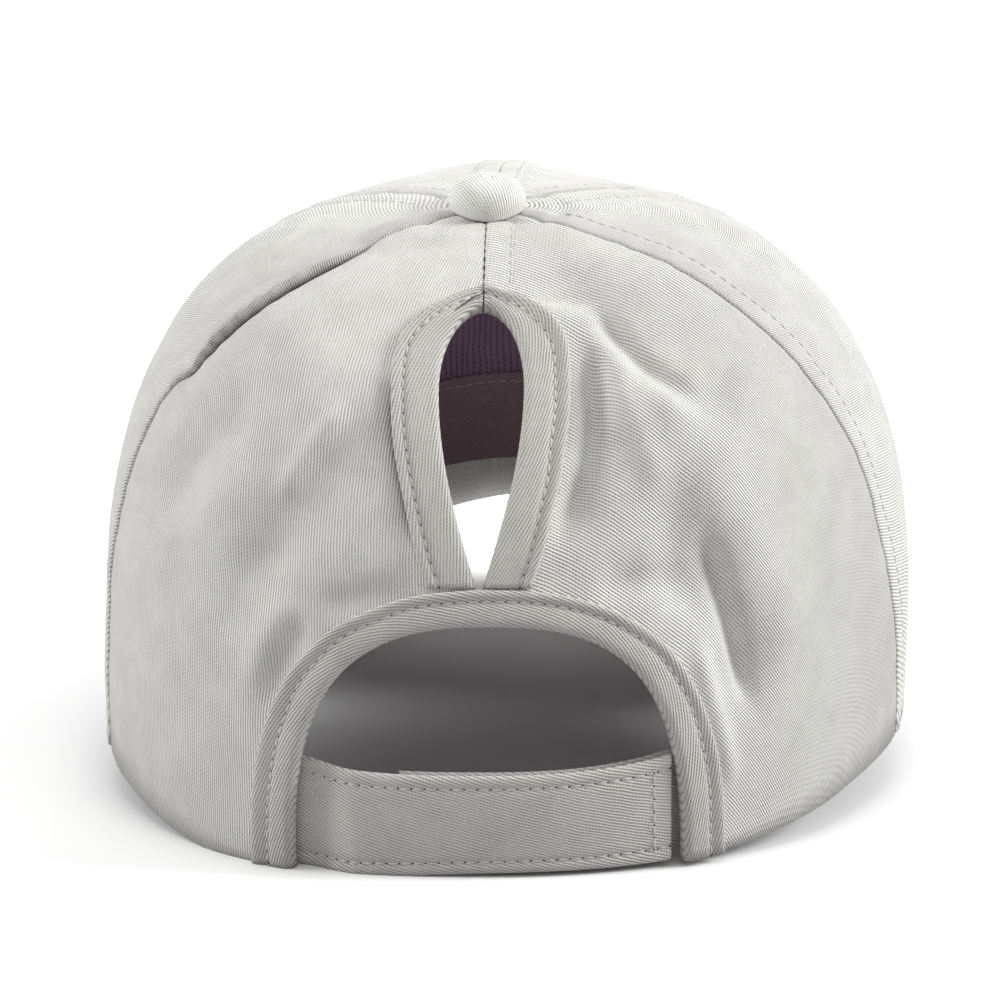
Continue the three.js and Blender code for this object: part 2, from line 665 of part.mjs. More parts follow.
const pointsOf = (geometry) => {
  const position = geometry.getAttribute('position');
  return range(position.count).map((i) => new THREE.Vector3().fromBufferAttribute(position, i));
};
const heightAt = (point, tilt) => point.y * Math.sin(tilt) + point.z * Math.cos(tilt);
const lowest = (points, tilt) => Math.min(...points.map((point) => heightAt(point, tilt)));

const brimPoints = pointsOf(PIECES.find((piece) => piece.name === 'brim').shape);
const hemPoints = pointsOf(PIECES.find((piece) => piece.name === 'outer_strap').shape);

function restTilt() {
  let [low, high] = [-0.2, 0.8];
  const halvings = 40;
  for (let i = 0; i < halvings; i += 1) {
    const tilt = (low + high) / 2;
    if (lowest(brimPoints, tilt) > lowest(hemPoints, tilt) + HEM_PRESS) high = tilt;
    else low = tilt;
  }
  return (low + high) / 2;
}

const TILT = restTilt();
const FLOOR = lowest(brimPoints, TILT);

// Cloth that would pass through the surface is pressed flat on it.
function press(geometry) {
  const position = geometry.getAttribute('position');
  const upright = new THREE.Vector3(0, Math.sin(TILT), Math.cos(TILT));
  pointsOf(geometry).forEach((point, i) => {
    const sunk = Math.max(FLOOR - heightAt(point, TILT), 0);
    point.addScaledVector(upright, sunk);
    position.setXYZ(i, point.x, point.y, point.z);
  });
}

const cap = new THREE.Group();
PIECES.forEach(({ name, shape, look }) => {
  press(shape);
  const mesh = new THREE.Mesh(shape, new THREE.MeshStandardMaterial(look));
  mesh.name = name;
  cap.add(mesh);
});
cap.rotation.x = TILT;

// The origin is the middle of the whole cap's base.
const standing = new THREE.Group();
standing.add(cap);
standing.updateMatrixWorld(true);
const box = new THREE.Box3().setFromObject(standing, true);
const middle = box.getCenter(new THREE.Vector3());
cap.position.set(-middle.x, -middle.y, -box.min.z);

export default standing;
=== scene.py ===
"""Ponytail baseball cap: cloth, tapes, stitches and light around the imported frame.

Lengths in the shape functions are millimetres in the cap's own straight frame, with +Y forward,
+X to the wearer's right and the rim at the sides near Z = 0. to_world() sets them into the
frame's metres, where the cap leans back on its rear hem and brim.
"""

import math
import random

import bpy
import numpy as np
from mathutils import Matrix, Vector


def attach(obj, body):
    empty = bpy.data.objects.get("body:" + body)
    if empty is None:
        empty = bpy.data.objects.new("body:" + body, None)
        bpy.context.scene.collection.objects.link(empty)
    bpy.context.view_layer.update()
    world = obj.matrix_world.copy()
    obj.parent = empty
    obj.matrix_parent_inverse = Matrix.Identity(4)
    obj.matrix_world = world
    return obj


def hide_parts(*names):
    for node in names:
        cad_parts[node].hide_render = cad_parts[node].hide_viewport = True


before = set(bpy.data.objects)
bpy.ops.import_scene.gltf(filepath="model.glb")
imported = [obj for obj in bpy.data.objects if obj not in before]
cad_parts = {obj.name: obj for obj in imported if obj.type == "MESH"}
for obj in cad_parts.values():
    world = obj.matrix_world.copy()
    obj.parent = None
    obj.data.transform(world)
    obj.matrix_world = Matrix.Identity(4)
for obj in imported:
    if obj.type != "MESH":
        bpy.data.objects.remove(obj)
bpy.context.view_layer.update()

MM = 0.001

# Crown, the same driving sizes as the solids
HALF_WIDTH = 87.5
REAR_LENGTH = 93
FRONT_LENGTH = 97
HEIGHT = 115
RIM_SQUARENESS = 2.15
TOP_SHIFT_LEFT = 3.2
TOP_SHIFT_BACK = 2.2
TOP_HOLE_RADIUS = 2.5
SWELL_POWER = 0.7
PROFILE_LENGTH = 1.4 * HEIGHT
BACK_REACH = 85

CLOTH = 1.6
TAPE_CLOTH = 1
GAP = 0.3

CAP_TILT = 0.18054779831
CAP_PLACE = (0.0271, -37.4774, 13.7487)

ARCH_OPENING_WIDTH = 82
ARCH_OPENING_HEIGHT = 52.2
ARCH_TAPE_AT_TOP = 7.6
ARCH_TAPE_AT_LEGS = 9.4
ARCH_SHIFT_RIGHT = 1.2
ARCH_SQUARENESS = 2.5
ARCH_TAPE_SQUARENESS = 2.25
ARCH_TOP = ARCH_OPENING_HEIGHT + ARCH_TAPE_AT_TOP

SLIT_LENGTH = 62
SLIT_WIDTH = 17.4
SLIT_TAPE = 9.8
SLIT_FOOT = ARCH_TOP + GAP
REAR_SEAM_LEFT_AT_ARCH = 0.5

STRAP_HEIGHT = 21.5
STRAP_CLOTH = 1.6
STRAP_DEPTH = 0.6
STRAP_TUCK = 8
STRAP_TUCK_GAP = 0.5
STRAP_BEND = 12
INNER_STRAP_LENGTH = 58
PATCH_LENGTH = 44
PATCH_CLOTH = 0.8
PATCH_MARGIN = 2

SWEATBAND_HEIGHT = 24
SWEATBAND_CLOTH = 1.2
SWEATBAND_LIFT = 1
LINING_CLOTH = 1
LINING_GAP = 0.6
LINING_MARGIN = 2
LINING_FROM = 0.02
LINING_TO = 0.9

BRIM_LENGTH = 70
BRIM_FLARE = 2.5
BRIM_THICKNESS = 3
BRIM_SPAN = 68
BRIM_SLOPE_MIDDLE = 30
BRIM_SLOPE_SIDES = 56
BRIM_SQUARENESS = 2.3
BRIM_SLOPE_POWER = 1.5

BUTTON_RADIUS = 8.2
BUTTON_HEIGHT = 6.5
BUTTON_EDGE = 1.2
BUTTON_ROUNDNESS = 0.75

# The crown's profile every 30 degrees, counterclockwise from above with 0 at the back:
# rim height as a share of HEIGHT, outward reach, roundness exponent, and swell of the middle.
SECTION_FROM = -150
SECTION_STEP = 30
SECTIONS = np.array([
    (0.08, 1.0, 2.3, 1.02),
    (0.02, 1.0, 2.4, 1.05),
    (0.01, 1.0, 2.85, 1.0),
    (0.0, 1.01, 2.95, 1.01),
    (0.0, 1.04, 2.2, 1.01),
    (0.03, 1.0, 1.9, 1.0),
    (0.02, 0.98, 2.05, 1.0),
    (0.02, 0.97, 2.7, 1.0),
    (0.01, 0.995, 2.9, 1.01),
    (0.02, 1.0, 2.6, 1.02),
    (0.08, 1.0, 2.3, 1.01),
    (0.14, 1.0, 2.5, 1.0),
])

# Where each straight seam meets the rim and the top, as angles.
SEAMS = {
    "rear_left": (-73, -55),
    "front_left": (-125, -115),
    "middle": (180, 180),
    "middle_left": (-180, -180),
    "front_right": (131, 121),
    "rear_right": (79, 61),
}

# The solids' main folds as strokes over the crown: from angle and share up, to angle and share
# up, width and depth as shares of HEIGHT.
FOLDS = [
    (-64, 0.5, -58, 0.86, 0.04, -0.013),
    (-29, 0.6, -41, 0.37, 0.08, 0.012),
    (-27, 0.49, -32, 0.36, 0.06, -0.013),
    (31, 0.77, 49, 0.54, 0.055, -0.016),
    (24, 0.73, 40, 0.56, 0.06, 0.012),
    (40, 0.56, 36, 0.42, 0.07, 0.014),
    (26, 0.67, 15, 0.45, 0.05, -0.014),
    (33, 0.42, 39, 0.18, 0.06, -0.02),
    (42, 0.4, 47, 0.2, 0.06, 0.012),
]

# Finer folds: width and depth in millimetres, then the start, middle and end of each.
FINE_FOLDS = [
    (2.2, -2.5, (37, 0.75), (37.5, 0.62), (46, 0.52)),
    (3.0, -0.9, (21, 0.75), (28, 0.75), (36, 0.74)),
    (2.4, -2.6, (26, 0.67), (22, 0.54), (10, 0.4)),
    (3.2, 1.3, (32, 0.66), (30, 0.55), (32, 0.44)),
    (4.0, -1.9, (18, 0.35), (26, 0.34), (34, 0.31)),
    (3.5, -0.8, (29, 0.34), (30, 0.36), (31, 0.38)),
    (2.2, -2.4, (36, 0.38), (38, 0.26), (40, 0.13)),
    (2.4, 1.4, (31, 0.27), (33, 0.16), (35, 0.06)),
    (3.5, -0.6, (52, 0.74), (55, 0.64), (58, 0.53)),
    (2.2, 1.6, (-33, 0.42), (-30, 0.5), (-26, 0.58)),
    (5.0, -2.2, (-54, 0.29), (-50, 0.41), (-42, 0.56)),
    (4.0, -1.0, (-38, 0.23), (-34, 0.32), (-30, 0.4)),
    (2.4, -1.4, (-20, 0.63), (-14, 0.52), (-9, 0.39)),
    (3.2, -1.4, (-22, 0.32), (-16, 0.34), (-8, 0.36)),
    (2.6, -1.3, (-29, 0.18), (-27, 0.24), (-24, 0.3)),
    (2.6, 0.8, (-32, 0.18), (-30, 0.26), (-26, 0.33)),
    (3.0, -0.7, (-42, 0.87), (-34, 0.88), (-25, 0.89)),
]
FOLD_STEPS = 6


def signed_power(value, power):
    return np.sign(value) * np.abs(value) ** power


def lerp(a, b, share):
    return a + (b - a) * share


def smooth(value):
    value = np.clip(value, 0, 1)
    return value * value * (3 - 2 * value)


def unit(vectors):
    return vectors / np.maximum(np.linalg.norm(vectors, axis=-1, keepdims=True), 1e-12)


def walked(points, axis=0):
    """How far each point lies along a line of points."""
    gaps = np.linalg.norm(np.diff(points, axis=axis), axis=-1)
    start = np.zeros_like(np.take(gaps, [0], axis=axis))
    return np.concatenate([start, np.cumsum(gaps, axis=axis)], axis=axis)


# The crown

def section(at):
    place = np.mod(at - SECTION_FROM, 360) / SECTION_STEP
    index = np.floor(place).astype(int)
    share = (place - index)[..., None]
    a, b, c, d = (SECTIONS[(index + step) % len(SECTIONS)] for step in (-1, 0, 1, 2))
    curve = (2 * a - 5 * b + 4 * c - d) * share + (3 * b - a - 3 * c + d) * share ** 2
    return np.moveaxis(b + 0.5 * share * (c - a + curve), -1, 0)


def crown(at, up):
    """A point of the smooth crown at an angle from the back and a share of the way up."""
    at, up = np.broadcast_arrays(np.asarray(at, float), np.asarray(up, float))
    rim, out, square, wide = section(at)
    turn = np.radians(at)
    length = np.where(np.cos(turn) > 0, REAR_LENGTH, FRONT_LENGTH)
    rim_x = out * HALF_WIDTH * signed_power(np.sin(turn), 2 / RIM_SQUARENESS)
    rim_y = -out * length * signed_power(np.cos(turn), 2 / RIM_SQUARENESS)
    lift = up * math.pi / 2
    rise = np.sin(lift) ** (2 / square)
    swell = 1 + (wide - 1) * np.maximum(np.sin(math.pi * rise), 0) ** SWELL_POWER
    reach = np.maximum(np.cos(lift), 0) ** (2 / square) * swell
    return np.stack([
        lerp(-TOP_SHIFT_LEFT, rim_x, reach),
        lerp(-TOP_SHIFT_BACK, rim_y, reach),
        HEIGHT * lerp(rim, 1, rise),
    ], -1)


def chart(at, up):
    """The crown rolled roughly flat, for distances between places on it."""
    return np.stack([
        np.radians(at) * HALF_WIDTH * np.cos(up * math.pi / 2), up * PROFILE_LENGTH], -1)


def beside_stroke(here, start, end):
    """How far places lie from a straight stroke, and the share of it that they are beside."""
    stroke = end - start
    share = np.clip((here - start) @ stroke / (stroke @ stroke), 0, 1)
    return np.linalg.norm(here - start - share[..., None] * stroke, axis=-1), share


def relief(at, up):
    """The main folds, in millimetres."""
    at, up = np.broadcast_arrays(np.asarray(at, float), np.asarray(up, float))
    here = chart(at, up)
    total = np.zeros(at.shape)
    for from_at, from_up, to_at, to_up, width, depth in FOLDS:
        away, _ = beside_stroke(here, chart(from_at, from_up), chart(to_at, to_up))
        total += depth * HEIGHT * np.exp(-(away / (width * HEIGHT)) ** 2)
    return total


def fold_line(start, middle, end):
    """Points of a curve over the flattened crown that runs through three places."""
    start, middle, end = (chart(*place) for place in (start, middle, end))
    pull = 2 * middle - (start + end) / 2
    share = np.linspace(0, 1, FOLD_STEPS + 1)[:, None]
    return (1 - share) ** 2 * start + 2 * share * (1 - share) * pull + share ** 2 * end


def fine_relief(at, up):
    """The finer folds and the small waves that cotton keeps after wear, in millimetres."""
    at, up = np.broadcast_arrays(np.asarray(at, float), np.asarray(up, float))
    here = chart(at, up)
    total = np.zeros(at.shape)
    for width, depth, *places in FINE_FOLDS:
        line = fold_line(*places)
        fold = np.zeros(at.shape)
        for step, (start, end) in enumerate(zip(line, line[1:])):
            away, share = beside_stroke(here, start, end)
            from_end = 0.5 - np.abs((step + share) / FOLD_STEPS - 0.5)
            fold = np.maximum(fold, np.exp(-(away / width) ** 2) * smooth(0.15 + from_end / 0.3))
        total += depth * fold
    return total + CRUMPLE * crumple(here)


# The inner face follows the outer one where that lies deeper than this.
FOLLOW_FROM = 1.1

CRUMPLE = 0.42
CRUMPLE_LENGTHS = (46, 27, 16)


def crumple(here):
    """Soft uneven waves over the flattened crown, always the same."""
    pick = random.Random(5)
    total = np.zeros(here.shape[:-1])
    for length in CRUMPLE_LENGTHS:
        for _ in range(5):
            turn, start = pick.uniform(0, math.pi), pick.uniform(0, 2 * math.pi)
            along = here @ np.array([math.cos(turn), math.sin(turn)])
            bend = 0.35 * length * np.sin(here @ np.array([math.sin(turn), -math.cos(turn)]) / length)
            total += length / CRUMPLE_LENGTHS[0] * np.sin(2 * math.pi * (along + bend) / length + start)
    return total / 5


def outward(at, up):
    around, rise = 0.5, 0.004
    low, high = np.maximum(up - rise, 0), np.minimum(up + rise, 1)
    return unit(np.cross(
        crown(at + around, up) - crown(at - around, up), crown(at, high) - crown(at, low)))


def cloth(at, up, depth=0.0, fine=0.0):
    """A point inside the folded cloth's outer face by depth, lifted by the fine relief."""
    lift = relief(at, up) + fine - depth
    return crown(at, up) + outward(at, up) * lift[..., None]


def to_world(points):
    c, s = math.cos(CAP_TILT), math.sin(CAP_TILT)
    x, y, z = np.moveaxis(points, -1, 0)
    world = np.stack([x, y * c - z * s, y * s + z * c], -1) + CAP_PLACE
    world[..., 2] = np.maximum(world[..., 2], 0)
    return world * MM


# Lengths along the cloth

CHART_ROWS = 400
CHART_COLUMNS = 340
CHART_SIDE = 150
UPS = np.linspace(0, 1, CHART_ROWS + 1)
ATS = np.linspace(-BACK_REACH, BACK_REACH, CHART_COLUMNS + 1)
REAR_HIGH = walked(crown(0, UPS))
BACK_LENGTH = REAR_HIGH[-1]
RING_SIDE = walked(crown(ATS[None, :], UPS[:, None]), axis=1)
RING_SIDE -= RING_SIDE[:, CHART_COLUMNS // 2, None]
SIDES = np.linspace(-CHART_SIDE, CHART_SIDE, 4 * CHART_SIDE + 1)
AT_OF_SIDE = np.array([np.interp(SIDES, row, ATS) for row in RING_SIDE])


def sample(table, row, column):
    """A table read between its rows and columns."""
    row = np.clip(row, 0, table.shape[0] - 1 - 1e-6)
    column = np.clip(column, 0, table.shape[1] - 1 - 1e-6)
    i, j = np.floor(row).astype(int), np.floor(column).astype(int)
    v, u = row - i, column - j
    low = lerp(table[i, j], table[i, j + 1], u)
    high = lerp(table[i + 1, j], table[i + 1, j + 1], u)
    return lerp(low, high, v)


def on_back(side, high):
    """The angle and share up of a place on the back, laid flat as side and high millimetres."""
    side, high = np.broadcast_arrays(np.asarray(side, float), np.asarray(high, float))
    up = np.interp(high, REAR_HIGH, UPS)
    return sample(AT_OF_SIDE, up * CHART_ROWS, (side + CHART_SIDE) * 2), up


def back_side(at, up):
    """How far right of the rear meridian a place on the back lies along its ring."""
    column = (at + BACK_REACH) / (2 * BACK_REACH) * CHART_COLUMNS
    return sample(RING_SIDE, up * CHART_ROWS, column)


TOP_ATS = np.linspace(-180, 180, 361)
TOP_DOWN = np.linspace(0, 0.2, 61)
TOP_LENGTHS = walked(crown(TOP_ATS[:, None], 1 - TOP_DOWN[None, :]), axis=1)
TOP_UPS = 1 - np.array([np.interp(TOP_HOLE_RADIUS, row, TOP_DOWN) for row in TOP_LENGTHS])


def top_of_profile(at):
    """The share of the way up where a profile comes to the hole under the button."""
    return np.interp(np.mod(at + 180, 360) - 180, TOP_ATS, TOP_UPS)


def up_from_rim(at, length):
    """The share of the way up that lies a length above the rim."""
    at, length = np.broadcast_arrays(np.asarray(at, float), np.asarray(length, float))
    ups = np.linspace(0, 0.6, 61)
    rows = walked(crown(at.reshape(-1, 1), ups[None, :]), axis=1)
    found = [np.interp(want, row, ups) for want, row in zip(length.ravel(), rows)]
    return np.array(found).reshape(at.shape)


def mm_per_degree(at, up):
    return np.linalg.norm(crown(at + 0.5, up) - crown(at - 0.5, up), axis=-1)


# Small unevenness, always the same for the same seed

def wobble(place, seed, length):
    """A smooth wavering between -1 and 1 with waves about the given length."""
    pick = random.Random(seed)
    waves = [(pick.uniform(0.6, 1.7), pick.uniform(0, 6.28)) for _ in range(5)]
    total = sum(np.sin(place * 6.28 * rate / length + start) for rate, start in waves)
    return total / len(waves)


def near(distance, width):
    return np.exp(-(distance / width) ** 2)


# Seams

SEAM_ROLL = 1.3
SEAM_ROLL_DEPTH = 0.55
SEAM_ROW = 5.6
ROW_GROOVE = 0.14
ROW_WIDTH = 0.6
PUCKER = 0.14
PUCKER_LENGTH = 9

# How far the cloth stands up beside each seam, on its side towards the back and beyond it.
SEAM_LIFTS = {
    "rear_left": (0.1, 0.7),
    "front_left": (0.3, 0.3),
    "middle": (0.3, 0.3),
    "middle_left": (0.3, 0.3),
    "front_right": (0.3, 0.3),
    "rear_right": (0.0, 0.32),
}
REAR_SEAM_LIFTS = (0.05, 0.3)

# The rear left seam gapes between these shares of the way up.
GAPE_FROM = 0.43
GAPE_TO = 0.9
GAPE_WIDTH = 1.7
GAPE_DEPTH = 1.2
GAPE_LIP = 0.9

BUTTON_CREASE = 0.6


def seam_at(seam, up):
    foot, top = SEAMS[seam]
    return lerp(foot, top, up)


def rear_seam(high):
    share = (high - SLIT_FOOT) / (BACK_LENGTH - SLIT_FOOT)
    return -REAR_SEAM_LEFT_AT_ARCH * (1 - share)


def gape(up):
    """How far open the rear left seam is at a share of the way up, from 0 to 1."""
    return smooth((up - GAPE_FROM) / 0.16) * (1 - smooth((up - GAPE_TO + 0.12) / 0.12))


def seam_form(away, beyond, along, seed, lifts):
    """How the cloth lies beside a seam: rolled in, raised over its allowance, and puckered."""
    edge = 1 - np.clip(away / SEAM_ROLL, 0, 1)
    roll = SEAM_ROLL_DEPTH * (1 - np.sqrt(np.maximum(1 - edge * edge, 0)))
    lift = np.where(beyond, lifts[1], lifts[0])
    raised = lift * (1 - smooth((away - SEAM_ROW + 2.2) / 2.6))
    row = ROW_GROOVE * near(away - SEAM_ROW, ROW_WIDTH) * (lift > 0.2)
    pucker = PUCKER * near(away, SEAM_ROW) * wobble(along, seed, PUCKER_LENGTH)
    return raised + pucker - roll - row


def seam_relief(at, up):
    """The relief that the seams give the cloth."""
    share = up / top_of_profile(at)
    scale = mm_per_degree(at, up)
    along = up * PROFILE_LENGTH
    total = np.zeros(np.broadcast(at, up).shape)
    for seed, (seam, lifts) in enumerate(SEAM_LIFTS.items()):
        if seam == "middle_left":
            continue
        place = seam_at(seam, share)
        off = np.abs(np.mod(at - place + 180, 360) - 180) * scale
        beyond = np.abs(at) > np.abs(place)
        total += seam_form(off, beyond, along, seed, lifts)
        if seam == "rear_left":
            total += gape(up) * np.where(beyond, GAPE_LIP * near(off, 4), -GAPE_DEPTH * near(off, 2.4))
    high = np.interp(up, UPS, REAR_HIGH)
    off = back_side(at, up) - rear_seam(high)
    above = smooth((high - SLIT_FOOT - SLIT_LENGTH) / 3) * (np.abs(at) < BACK_REACH)
    total += above * seam_form(np.abs(off), off > 0, high, 11, REAR_SEAM_LIFTS)
    from_top = (1 - up) * PROFILE_LENGTH
    return total - BUTTON_CREASE * near(from_top - BUTTON_RADIUS, 1.2)


# Meshes

def new_object(name, data):
    made = bpy.data.objects.new(name, data)
    bpy.context.scene.collection.objects.link(made)
    return made


def make_mesh(name, points, quads, uv, material):
    """An object from world points, four-cornered faces and one weave place for each point."""
    mesh = bpy.data.meshes.new(name)
    quads = np.asarray(quads, np.int32)
    points = np.asarray(points, np.float32)
    a, b, c, d = (points[quads[:, k]] for k in range(4))
    middle = points.mean(0)
    volume = np.einsum("ij,ij->i", (a + b + c + d) / 4 - middle, np.cross(c - a, d - b)).sum()
    if volume < 0:
        quads = quads[:, ::-1]
    mesh.vertices.add(len(points))
    mesh.vertices.foreach_set("co", points.ravel())
    mesh.loops.add(quads.size)
    mesh.loops.foreach_set("vertex_index", quads.ravel())
    mesh.polygons.add(len(quads))
    mesh.polygons.foreach_set("loop_start", np.arange(0, quads.size, 4, dtype=np.int32))
    mesh.update(calc_edges=True)
    mesh.shade_smooth()
    if uv is not None:
        layer = mesh.uv_layers.new(name="weave")
        layer.uv.foreach_set("vector", np.asarray(uv, np.float32)[quads.ravel()].ravel())
    mesh.materials.append(material)
    return new_object(name, mesh)


def loft_faces(rows, size):
    """Faces of a tube of rings whose ends are closed by ladders across the ring."""
    row, k = np.meshgrid(np.arange(rows - 1), np.arange(size), indexing="ij")
    here, there = row * size, (row + 1) * size
    after = (k + 1) % size
    sides = np.stack([here + k, there + k, there + after, here + after], -1).reshape(-1, 4)
    k = np.arange(size // 2 - 1)
    ladder = np.stack([k, k + 1, size - 2 - k, size - 1 - k], -1)
    last = (rows - 1) * size
    return np.concatenate([sides, ladder, last + ladder[:, ::-1]])


def loft(name, rings, uv, material):
    """A closed solid through rings of cap-frame points, each with a place in the weave."""
    rows, size = rings.shape[:2]
    return make_mesh(
        name, to_world(rings).reshape(-1, 3), loft_faces(rows, size), uv.reshape(-1, 2), material)


def shell(name, outer, inner, uv, material):
    """A sheet of cloth between two grids of points."""
    rings = np.concatenate([outer, inner[:, ::-1]], 1)
    return loft(name, rings, np.concatenate([uv, uv[:, ::-1]], 1), material)


def dress(piece, slot, *nodes):
    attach(piece, "root")
    if nodes:
        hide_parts(*nodes)
    return piece


# Stitches

STITCH_LENGTH = 2.05
STITCH_PITCH = 2.6
STITCH_RADIUS = 0.24
STITCH_LIFT = 0.14
HOLE_RADIUS = 0.3

stitch_sets = {}
hole_places = []


def sew(line, normals, thread="crown_thread", pitch=STITCH_PITCH, holes=True):
    """Adds a row of stitches on a line of cap-frame points with the cloth's normals."""
    along = walked(line)
    count = max(int(along[-1] / pitch), 1)
    starts = (np.arange(count) + 0.5) * along[-1] / count
    pick = np.linspace(-0.5, 0.5, 5)
    places = starts[:, None] + pick[None, :] * STITCH_LENGTH

    def at_places(values, where):
        return np.stack([np.interp(where, along, values[:, k]) for k in range(3)], -1)

    middle = at_places(line, places)
    up = unit(at_places(normals, places))
    arch = np.cos(pick * math.pi)
    middle = middle + up * (STITCH_LIFT * arch - 0.05)[None, :, None]
    ahead = unit(np.gradient(middle, axis=1))
    side = unit(np.cross(ahead, up))
    turns = np.arange(6) * math.pi / 3
    radius = STITCH_RADIUS * (0.35 + 0.65 * arch ** 0.5)
    ring = (side[:, :, None] * np.cos(turns)[None, None, :, None]
            + up[:, :, None] * np.sin(turns)[None, None, :, None])
    rings = middle[:, :, None] + ring * radius[None, :, None, None]
    stitch_sets.setdefault(thread, []).append(rings)
    if holes:
        gaps = np.arange(count + 1) * along[-1] / count
        hole_places.append((at_places(line, gaps), unit(at_places(normals, gaps))))


def sewn_piece(name, sets, material):
    rings = np.concatenate(sets)
    count, rows, size = rings.shape[:3]
    faces = loft_faces(rows, size)
    steps = np.arange(count)[:, None, None] * rows * size
    return make_mesh(
        name, to_world(rings).reshape(-1, 3), (faces[None] + steps).reshape(-1, 4), None, material)


def hole_piece(name, material):
    """Small lenses where the needle went through, painted dark as the shade inside the holes."""
    places = np.concatenate([place for place, _ in hole_places])
    ups = np.concatenate([up for _, up in hole_places])
    side = unit(np.cross(ups, np.array([0.3, 0.2, 1.0])))
    other = np.cross(ups, side)
    turns = np.arange(6) * math.pi / 3
    levels = [(0.04, -0.3), (1, -0.12), (0.8, 0.02), (0.04, 0.05)]
    rings = np.stack([
        places[:, None] + ups[:, None] * high
        + HOLE_RADIUS * share * (side[:, None] * np.cos(turns)[None, :, None]
                                 + other[:, None] * np.sin(turns)[None, :, None])
        for share, high in levels], 1)
    return sewn_piece(name, [rings], material)


def sew_cloth(at, up, depth=0.0, fine=0.0, face=1, **settings):
    """Sews a row on the cloth's outer face, or on its inner one where face is -1."""
    sew(cloth(at, up, depth, fine), face * outward(at, up), **settings)


# Materials

RIB_PITCH = 0.62


def new_material(name):
    material = bpy.data.materials.new(name)
    material.use_nodes = True
    tree = material.node_tree
    return material, Nodes(tree), tree.nodes["Principled BSDF"]


def set_inputs(node, **values):
    """Sets a node's inputs, named in small letters with _ for a space."""
    names = {socket.name.lower().replace(" ", "_"): socket for socket in node.inputs}
    for name, value in values.items():
        names[name].default_value = value


class Nodes:
    """Short calls for building a node tree."""

    def __init__(self, tree):
        self.tree = tree

    def add(self, kind, **settings):
        node = self.tree.nodes.new(kind)
        for key, value in settings.items():
            setattr(node, key, value)
        return node

    def plug(self, value, socket):
        if isinstance(value, (int, float)):
            socket.default_value = value
        elif isinstance(value, tuple):
            socket.default_value = (*value, 1) if len(socket.default_value) == 4 else value
        else:
            self.tree.links.new(value, socket)

    def math(self, operation, *values, clamp=False):
        node = self.add("ShaderNodeMath", operation=operation, use_clamp=clamp)
        for value, socket in zip(values, node.inputs):
            self.plug(value, socket)
        return node.outputs[0]

    def noise(self, vector, scale, detail=2.0, roughness=0.5):
        node = self.add("ShaderNodeTexNoise")
        self.plug(vector, node.inputs["Vector"])
        set_inputs(node, scale=scale, detail=detail, roughness=roughness)
        return node.outputs["Fac"]

    def mix(self, share, a, b):
        node = self.add("ShaderNodeMix", data_type="RGBA")
        self.plug(share, node.inputs["Factor"])
        self.plug(a, node.inputs[6])
        self.plug(b, node.inputs[7])
        return node.outputs[2]

    def wave(self, turns):
        """A sine between 0 and 1 that repeats with each whole turn."""
        sine = self.math("SINE", self.math("MULTIPLY", turns, 2 * math.pi))
        return self.math("MULTIPLY_ADD", sine, 0.5, 0.5)

    def roughen(self, shader, height, strength, depth):
        """Bumps a shader's surface by a height, with depth in millimetres."""
        bump = self.add("ShaderNodeBump")
        set_inputs(bump, strength=strength, distance=depth * MM)
        self.plug(height, bump.inputs["Height"])
        self.plug(bump.outputs[0], shader.inputs["Normal"])

    def span(self, value, low, high, to_low=0.0, to_high=1.0):
        node = self.add("ShaderNodeMapRange", clamp=True)
        for item, socket in zip((value, low, high, to_low, to_high), node.inputs):
            self.plug(item, socket)
        return node.outputs[0]


def weave_places(nodes):
    uv = nodes.add("ShaderNodeUVMap", uv_map="weave").outputs[0]
    split = nodes.add("ShaderNodeSeparateXYZ")
    nodes.plug(uv, split.inputs[0])
    return split.outputs[0], split.outputs[1]


